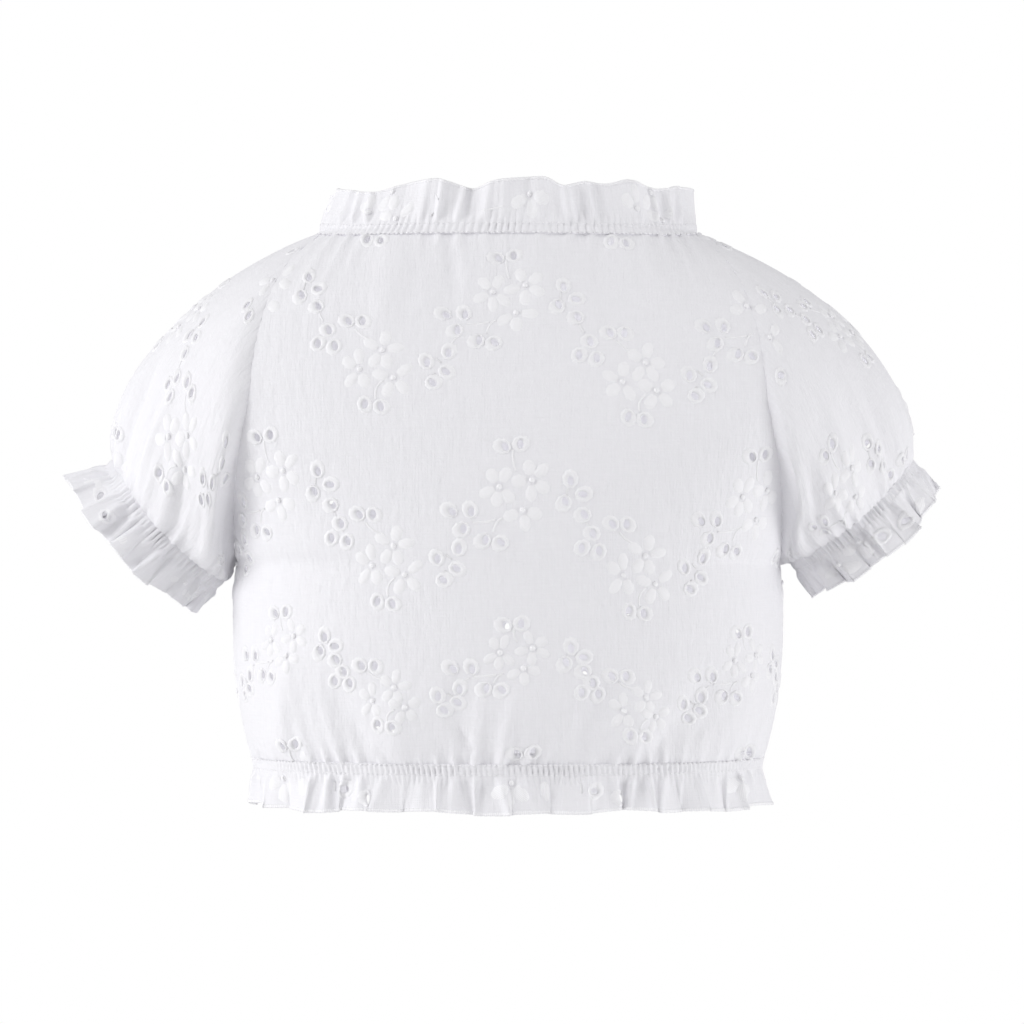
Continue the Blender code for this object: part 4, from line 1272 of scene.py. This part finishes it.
def stitch_rim(work, eyelet):
    """The satin-stitched rim of one eyelet, thickest on the side away from its hole."""
    mesh, points = RIM
    x, y, lean, rim_x, rim_y, rim_lean = eyelet
    angles = np.arctan2(points[:, 1], points[:, 0])
    out = np.clip(np.hypot(points[:, 0], points[:, 1]) - 1.0, 0.0, 1.0)
    hole_turn = angles - math.radians(lean - rim_lean)
    hole = oval(hole_turn, x, y, lean, HOLE_HALF_WIDTH - 0.15, HOLE_HALF_LENGTH - 0.15)
    ragged = 1.0 + 0.05 * np.sin(9.0 * angles + x) + 0.03 * np.sin(14.0 * angles + y)
    edge_x, edge_y = oval(angles, rim_x, rim_y, rim_lean, RIM_HALF_WIDTH, RIM_HALF_LENGTH)
    edge_x = rim_x + (edge_x - rim_x) * ragged
    edge_y = rim_y + (edge_y - rim_y) * ragged
    flat_x = hole[0] * (1.0 - out) + edge_x * out
    flat_y = hole[1] * (1.0 - out) + edge_y * out
    crown = np.interp(out, (0.0, 0.2, 0.4, 0.6, 0.8, 1.0), (-0.5, 0.75, 1.0, 1.0, 0.8, 0.0))
    work.add(mesh, flat_x, flat_y, RIM_HEIGHT * crown, np.abs(angles) * 4.0, out)


def stitch_petal(work, x, y, way, height):
    """One satin petal that starts beside the knot: full, ragged at its edge, and each a little different."""
    mesh, points = PETAL
    across = points[:, 0]
    along = 0.5 + 0.5 * points[:, 1]
    own = math.sin(3.1 * x + 1.7 * y + 0.23 * way)
    width = np.interp(along, (0.0, 0.15, 0.4, 0.72, 0.9, 1.0), (0.45, 0.78, 0.98, 1.0, 0.78, 0.50))
    ragged = 1.0 + 0.08 * np.sin(23.0 * along + 7.0 * own + 3.0 * across)
    beside = across * width * ragged * PETAL_HALF_WIDTH * (1.0 + 0.10 * own)
    out = PETAL_START + PETAL_LENGTH * (1.0 - 0.07 * own) * (along - 0.06 * across**2 * along)
    turn = math.radians(way + 6.0 * own)
    size = 0.5 + 0.5 * height
    flat_x = x + (out * math.cos(turn) - beside * math.sin(turn)) * size
    flat_y = y + (out * math.sin(turn) + beside * math.cos(turn)) * size
    crown = np.sqrt(np.clip(1.0 - across**2, 0.0, 1.0)) * np.clip(4.0 * along, 0.3, 1.0)
    lift = PETAL_HEIGHT * crown * np.clip(3.5 * (1.0 - along), 0.0, 1.0) ** 0.5 - 0.05
    work.add(mesh, flat_x, flat_y, lift, beside, out)


def stitch_knot(work, x, y):
    """The raised knot in the middle of a flower."""
    mesh, points = KNOT
    lift = KNOT_HEIGHT * np.clip(points[:, 2], -0.1, 1.0)
    flat_x = x + KNOT_RADIUS * points[:, 0]
    flat_y = y + KNOT_RADIUS * points[:, 1]
    work.add(mesh, flat_x, flat_y, lift, points[:, 0] * 1.5, points[:, 1])


def stitch_stem(work, points_along):
    """A stem along three points."""
    mesh, points = STEM
    t = 0.5 + 0.5 * points[:, 1]
    start, middle, end = (np.array(p) for p in points_along)
    pull = 2.0 * middle - 0.5 * (start + end)
    place = np.outer((1.0 - t) ** 2, start) + np.outer(2.0 * t * (1.0 - t), pull) + np.outer(t**2, end)
    way = unit(np.outer(1.0 - t, pull - start) + np.outer(t, end - pull))
    beside = points[:, 0] * STEM_HALF_WIDTH
    flat_x = place[:, 0] - way[:, 1] * beside
    flat_y = place[:, 1] + way[:, 0] * beside
    lift = STEM_HEIGHT * np.sqrt(np.clip(1.0 - points[:, 0] ** 2, 0.0, 1.0)) - 0.05
    work.add(mesh, flat_x, flat_y, lift, 8.0 * t + beside, beside)


def fits(cloth, x, y, margin):
    """Whether a motif at this flat point is this far inside its cloth."""
    inside = cloth.clear(np.array([x]), np.array([y]))[0] > margin
    return inside and abs(x) < cloth.extent()[0] - margin


def embroider(name, cloth, places, eyelets, material, slot):
    """The rims, flowers and stems on one cloth."""
    work = Embroidery()
    for eyelet in eyelets:
        stitch_rim(work, eyelet)
    for middle_x, middle_y, height, _, flowers, stems in places:
        for x, y, ways in flowers["rows"]:
            flower_x = middle_x + x
            flower_y = middle_y + y * height
            if fits(cloth, flower_x, flower_y, KNOT_RADIUS):
                stitch_knot(work, flower_x, flower_y)
            for way in ways:
                reach = PETAL_START + 0.6 * PETAL_LENGTH
                petal_x = flower_x + reach * math.cos(math.radians(way))
                petal_y = flower_y + reach * math.sin(math.radians(way)) * height
                if fits(cloth, petal_x, petal_y, 1.6 * PETAL_CLEAR):
                    stitch_petal(work, flower_x, flower_y, way, height)
        for row in stems["rows"]:
            line = [(middle_x + x, middle_y + y * height) for x, y in row]
            if all(fits(cloth, x, y, PETAL_CLEAR) for x, y in line):
                stitch_stem(work, line)
    return work.finish(name, cloth, material, slot)


def stitch_edge(name, edging, material, slot):
    """The rolled and stitched edge round a ruffle's tip, and the stitches beside its channel."""
    work = Embroidery()
    length = edging.loop.length
    stitches = round(length / 1.5)
    rim_bm = ring_sheet(4 * stitches, 6)
    mesh, points = template(rim_bm)
    angles = np.arctan2(points[:, 1], points[:, 0])
    round_it = (np.hypot(points[:, 0], points[:, 1]) - 1.0) * math.tau
    ridge = 0.75 + 0.25 * np.abs(np.sin(0.5 * stitches * angles))
    x = angles / math.tau * length
    distance = edging.tip() - 0.35 + 0.85 * np.cos(round_it) * ridge
    lift = -0.12 + 0.55 * np.sin(round_it) * ridge
    work.add(mesh, x, edging.towards * distance, lift, x, round_it)
    ball, spots = STITCH
    count = round(length / 2.6)
    for distance in (0.05, CHANNEL_HEIGHT - 0.05):
        for number in range(count):
            middle = (number + 0.5) * length / count - length / 2.0
            x = middle + 0.95 * spots[:, 0]
            y = edging.towards * (distance + 0.26 * spots[:, 1])
            work.add(ball, x, y, 0.12 + 0.26 * spots[:, 2], x, y)
    return work.finish(name, edging, material, slot)


class Shade:
    """One socket of a finish, so that shader maths reads as arithmetic."""

    def __init__(self, finish, socket):
        self.finish = finish
        self.socket = socket

    def maths(self, operation, first, second=0.0):
        return self.finish.node("ShaderNodeMath", {"operation": operation}, {0: first, 1: second})

    def __add__(self, other):
        return self.maths("ADD", self, other)

    def __sub__(self, other):
        return self.maths("SUBTRACT", self, other)

    def __rsub__(self, other):
        return self.maths("SUBTRACT", other, self)

    def __mul__(self, other):
        return self.maths("MULTIPLY", self, other)

    __radd__ = __add__
    __rmul__ = __mul__

    def sine(self):
        return self.maths("SINE", self)


class Finish:
    """One material, made of nodes round its Principled shader."""

    def __init__(self, name):
        self.material = bpy.data.materials.new(name)
        self.material.use_nodes = True
        self.tree = self.material.node_tree
        self.surface = self.tree.nodes["Principled BSDF"]

    def node(self, kind, settings, values, output=0):
        """Any node: its settings first, then the values or links of its sockets."""
        made = self.tree.nodes.new(kind)
        for name, value in settings.items():
            setattr(made, name, value)
        for socket, value in values.items():
            self.join(value, made.inputs[socket])
        return Shade(self, made.outputs[output])

    def join(self, value, socket):
        if isinstance(value, Shade):
            self.tree.links.new(value.socket, socket)
        else:
            socket.default_value = value

    def surface_values(self, values):
        for socket, value in values.items():
            self.join(value, self.surface.inputs[socket])

    def flat_position(self, scale_x, scale_y):
        """The place on the flat cloth, stretched."""
        flat = self.node("ShaderNodeUVMap", {"uv_map": "flat"}, {})
        return self.node("ShaderNodeMapping", {}, {"Vector": flat, "Scale": (scale_x, scale_y, 1.0)})

    def noise(self, position, scale, detail, rough=0.5):
        values = {"Vector": position, "Scale": scale, "Detail": detail, "Roughness": rough}
        return self.node("ShaderNodeTexNoise", {"noise_dimensions": "2D"}, values)

    def mix_colour(self, share, first, second):
        """A colour between two."""
        values = {"Factor": share, 6: first, 7: second}
        return self.node("ShaderNodeMix", {"data_type": "RGBA"}, values, 2)

    def bump(self, height, distance, normal=None):
        values = {"Height": height, "Distance": distance, "Strength": 1.0}
        if normal is not None:
            values["Normal"] = normal
        return self.node("ShaderNodeBump", {}, values)


def cotton_finish(name, light, dark):
    """White cotton lawn: a fine uneven weave, slubs both ways and a soft crinkle."""
    finish = Finish(name)
    plain = finish.flat_position(1.0, 1.0)
    along = finish.node("ShaderNodeSeparateXYZ", {}, {"Vector": plain}, "X")
    down = finish.node("ShaderNodeSeparateXYZ", {}, {"Vector": plain}, "Y")
    wander = finish.noise(plain, 60.0, 2.0)
    warp = (along * (math.tau / WEAVE_PITCH) + wander * 5.0).sine()
    weft = (down * (math.tau / WEAVE_PITCH) + wander * 6.0).sine()
    slub_down = finish.noise(finish.flat_position(120.0, 8.0), 1.0, 3.0)
    slub_across = finish.noise(finish.flat_position(7.0, 130.0), 1.0, 3.0)
    crinkle = finish.noise(finish.flat_position(17.0, 7.0), 1.0, 3.0, 0.6)
    weave = warp * 0.15 + weft * 0.15 + slub_down * 1.2 + slub_across * 0.9
    first = finish.bump(crinkle, 0.0007)
    tone = slub_down * 0.6 + slub_across * 0.5
    finish.surface_values({
        "Base Color": finish.mix_colour(tone, dark, light),
        "Roughness": 0.80 + crinkle * 0.15,
        "Normal": finish.bump(weave, 0.00011, first),
        "Sheen Weight": 0.15,
        "Sheen Roughness": 0.5,
        "Specular IOR Level": 0.2,
    })
    return finish.material


def thread_finish(name, light, dark):
    """White embroidery thread in close satin stitches, with painted shade in the grooves between them."""
    finish = Finish(name)
    plain = finish.flat_position(1.0, 1.0)
    across = finish.node("ShaderNodeSeparateXYZ", {}, {"Vector": plain}, "X")
    wander = finish.noise(plain, 1.3, 2.0)
    rows = (across * (math.tau / STITCH_PITCH) + wander * 3.0).sine()
    # The stitch rows drive both the bump and the colour: the dark colour is painted shade in the grooves
    # between stitches, where the bump is low
    finish.surface_values({
        "Base Color": finish.mix_colour(rows * 0.5 + 0.5, dark, light),
        "Roughness": 0.55 + wander * 0.15,
        "Normal": finish.bump(rows, 0.00004),
        "Sheen Weight": 0.1,
        "Specular IOR Level": 0.3,
    })
    return finish.material


def plain_finish(name, colour):
    finish = Finish(name)
    finish.surface_values({"Base Color": colour, "Roughness": 1.0, "Specular IOR Level": 0.0})
    return finish.material


def add_camera():
    """The camera looks level at the back of the top."""
    lens = bpy.data.cameras.new("camera")
    lens.sensor_width = SENSOR_WIDTH
    lens.lens = SENSOR_WIDTH * CAMERA_DISTANCE / VIEW_WIDTH
    lens.clip_end = 30.0
    camera = bpy.data.objects.new("camera", lens)
    camera.location = (VIEW_MIDDLE_X * MM, CAMERA_DISTANCE * MM, VIEW_MIDDLE_Z * MM)
    camera.rotation_euler = (math.radians(90.0), 0.0, math.radians(180.0))
    bpy.context.scene.collection.objects.link(camera)
    bpy.context.scene.camera = camera


def add_panel_light(name, location, size, power):
    """A large soft light that faces the middle of the top."""
    data = bpy.data.lights.new(name, "AREA")
    data.size = size
    data.energy = power
    light = bpy.data.objects.new(name, data)
    light.location = location
    aim = Vector((0.0, 0.0, -0.15)) - light.location
    light.rotation_euler = aim.to_track_quat("-Z", "Y").to_euler()
    bpy.context.scene.collection.objects.link(light)


def add_inside_light(name, location, power):
    """A soft light inside the hollow, as thin cloth lets light through, which keeps the holes pale."""
    data = bpy.data.lights.new(name, "POINT")
    data.shadow_soft_size = 0.03
    data.energy = power
    light = bpy.data.objects.new(name, data)
    light.location = location
    light.visible_camera = False
    bpy.context.scene.collection.objects.link(light)


def add_studio():
    """White surroundings, a pale floor well below, and soft lights from the upper left."""
    scene = bpy.context.scene
    scene.view_settings.view_transform = "Standard"
    world = bpy.data.worlds.new("studio")
    scene.world = world
    world.use_nodes = True
    sky = world.node_tree.nodes["Background"]
    sky.inputs["Color"].default_value = (1.0, 1.0, 1.0, 1.0)
    sky.inputs["Strength"].default_value = 0.54
    seen = world.node_tree.nodes.new("ShaderNodeBackground")
    seen.inputs["Color"].default_value = (1.0, 1.0, 1.0, 1.0)
    seen.inputs["Strength"].default_value = 1.0
    ray = world.node_tree.nodes.new("ShaderNodeLightPath")
    mix = world.node_tree.nodes.new("ShaderNodeMixShader")
    world.node_tree.links.new(ray.outputs["Is Camera Ray"], mix.inputs["Fac"])
    world.node_tree.links.new(sky.outputs["Background"], mix.inputs[1])
    world.node_tree.links.new(seen.outputs["Background"], mix.inputs[2])
    world.node_tree.links.new(mix.outputs["Shader"], world.node_tree.nodes["World Output"].inputs["Surface"])
    add_panel_light("key", (2.3, 1.2, 0.95), 1.1, 28.5)
    add_panel_light("fill", (-2.5, 1.0, -0.1), 1.5, 20.0)
    add_panel_light("top", (0.3, 0.9, 2.2), 1.5, 9.0)
    add_panel_light("low_left", (1.9, 0.3, -1.0), 1.2, 14.0)
    add_panel_light("low_right", (-1.8, 0.5, -1.0), 1.2, 8.0)
    for name, location, power in INSIDE_LIGHTS:
        add_inside_light(name, location, power)
    bm = bmesh.new()
    bmesh.ops.create_grid(bm, x_segments=1, y_segments=1, size=4.0)
    bmesh.ops.translate(bm, vec=(0.0, 0.0, -1.2), verts=bm.verts)
    mesh = bpy.data.meshes.new("floor")
    bm.to_mesh(mesh)
    bm.free()
    mesh.materials.append(plain_finish("pale_floor", (0.9, 0.9, 0.9, 1.0)))
    floor = bpy.data.objects.new("floor", mesh)
    scene.collection.objects.link(floor)


def neck_tip(angle):
    """The height of the neck ruffle, uneven along its top."""
    from_back = (np.asarray(angle) + 180.0) % 360.0 - 180.0
    return read(NECK_TIP, "height", from_back)


def hem_tip(angle):
    """The height of the hem ruffle, uneven along its edge."""
    radians = np.radians(angle)
    return HEM_RUFFLE_HEIGHT + 0.8 * np.sin(7.0 * radians + 1.7) + 0.6 * np.sin(17.0 * radians)


def neck_lean(angle):
    """The neck ruffle leans in, more on the left."""
    return -0.27 - 0.12 * np.sin(np.radians(angle))


def hem_lean(angle):
    """The hem ruffle flares, more on the right."""
    return 0.24 - 0.10 * np.sin(np.radians(angle))


HEM_RUFFLE_HEIGHT = 16.5
NECK_RUFFLE = {
    "height": 20.0,
    "waves": 16,
    "depth": 2.0,
    "turn": 0.6,
    "curl": 0.5,
    "pleats": 2.0,
    "ridge": 0.45,
    "through": 0.0,
    "lap": NECK_LAP,
    "lean": neck_lean,
    "tip_height": neck_tip,
}
HEM_RUFFLE = {
    "height": HEM_RUFFLE_HEIGHT,
    "waves": 22,
    "depth": 2.6,
    "turn": 1.7,
    "curl": 2.4,
    "pleats": 1.9,
    "ridge": 0.45,
    "through": 0.0,
    "lap": HEM_LAP,
    "lean": hem_lean,
    "tip_height": hem_tip,
}
CUFF_FLARE_OUTER = {1.0: 0.45, -1.0: -0.08}
CUFF_OUTER_HEIGHT = {1.0: 20.0, -1.0: 16.5}
CUFF_FLARE_UNDER = 0.04
CUFF_RUFFLE_HEIGHT = 19.5
CUFF_RUFFLE_UNDER_HEIGHT = 15.0


def cuff_ruffle(side):
    """The ruffle of one cuff; under the arm it is short and hangs straight."""
    def lean(angle):
        near_outer = 0.5 + 0.5 * np.cos(np.radians(angle))
        return CUFF_FLARE_UNDER + (CUFF_FLARE_OUTER[side] - CUFF_FLARE_UNDER) * near_outer

    def tip_height(angle):
        under = np.clip((np.abs(angle) - 90.0) / 90.0, 0.0, 1.0)
        height = CUFF_RUFFLE_HEIGHT - under * (CUFF_RUFFLE_HEIGHT - CUFF_RUFFLE_UNDER_HEIGHT)
        outer = np.clip(np.cos(np.radians(angle)), 0.0, 1.0) ** 4
        height += outer * (CUFF_OUTER_HEIGHT[side] - CUFF_RUFFLE_HEIGHT)
        return height + 1.1 * np.sin(7.0 * np.radians(angle) + side)

    return {
        "height": CUFF_RUFFLE_HEIGHT,
        "waves": 13,
        "depth": 2.8,
        "turn": 0.4 + 1.1 * side,
        "curl": 2.2,
        "pleats": 2.6,
        "ridge": 0.12,
        "through": 0.9,
        "lap": NO_LAP,
        "lean": lean,
        "tip_height": tip_height,
    }


def cuff_edging(side):
    """The gathered edge of one cuff."""
    cuff = Cuff(side)
    mirror = np.array((side, 1.0, 1.0))

    def line(angle):
        return cuff.line(angle) * mirror

    loop = Loop(line, True)
    return Edging(loop, CUFF_GATHERS[side], cuff.way * mirror, 1.0, side, cuff_ruffle(side))


def dress_panel(name, cloth, rows, nodes, finishes):
    """One cut panel with its eyelets and its embroidery."""
    places = cluster_places(rows, 2.0 * cloth.extent()[0])
    eyelets = stitched_eyelets(cloth, places)
    piece = make_cloth(name, cloth, eyelets, finishes["cotton"], "eyelet_cotton")
    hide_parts(*nodes)
    embroider(name + "_embroidery", cloth, places, eyelets, finishes["thread"], "eyelet_cotton")


def dress_edge(name, edging, rows, nodes, finishes, cut_through=True):
    """One gathered edge with its embroidery, its stitched tip and, where it is cut through, its eyelets."""
    places = cluster_places(rows, edging.loop.length - rows["rows"][0][2])
    eyelets = stitched_eyelets(edging, places) if cut_through else []
    piece = make_cloth(name, edging, eyelets, finishes["cotton"], "gathered_cotton")
    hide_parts(*nodes)
    height = (edging.tip() + 0.8) * 1.1 * MM
    embroider(name + "_embroidery", edging, places, eyelets, finishes["thread"], "gathered_cotton")
    stitch_edge(name + "_stitching", edging, finishes["thread"], "gathered_cotton")


def main():
    add_camera()
    add_studio()
    finishes = {
        "cotton": cotton_finish("white_cotton", (0.868, 0.862, 0.895, 1.0), (0.80, 0.794, 0.825, 1.0)),
        # The thread's second, darker colour is painted shade for the grooves between its stitches
        "thread": thread_finish("white_thread", (0.935, 0.93, 0.955, 1.0), (0.86, 0.855, 0.88, 1.0)),
    }
    up = np.array((0.0, 0.0, 1.0))
    back = BodyPanel(BACK, BACK_FOLDS, SOFT_BACK_FOLDS, 1.0, 0.0)
    front = BodyPanel(FRONT, FRONT_FOLDS, SOFT_FRONT_FOLDS, -1.0, 0.5)
    dress_panel("back_cloth", back, BACK_ROWS, ("back_panel",), finishes)
    dress_panel("front_cloth", front, FRONT_ROWS, ("front_panel",), finishes)
    for side_name, side, rows in (("left", 1.0, LEFT_SLEEVE_ROWS), ("right", -1.0, RIGHT_SLEEVE_ROWS)):
        sleeve = Sleeve(side)
        nodes = ("sleeve_" + side_name + "_back", "sleeve_" + side_name + "_front")
        dress_panel("sleeve_cloth_" + side_name, sleeve, rows, nodes, finishes)
        nodes = ("cuff_channel_" + side_name, "cuff_ruffle_" + side_name)
        dress_edge("cuff_edge_" + side_name, cuff_edging(side), CUFF_ROWS, nodes, finishes)
    neck = Edging(NECK_LOOP, NECK_GATHERS, up, -1.0, -1.0, NECK_RUFFLE)
    hem = Edging(HEM_LOOP, HEM_GATHERS, -up, 1.0, -1.0, HEM_RUFFLE)
    dress_edge("neck_edge", neck, NECK_ROWS, ("neck_channel", "neck_ruffle"), finishes, False)
    dress_edge("hem_edge", hem, HEM_ROWS, ("hem_channel", "hem_ruffle"), finishes)


main()
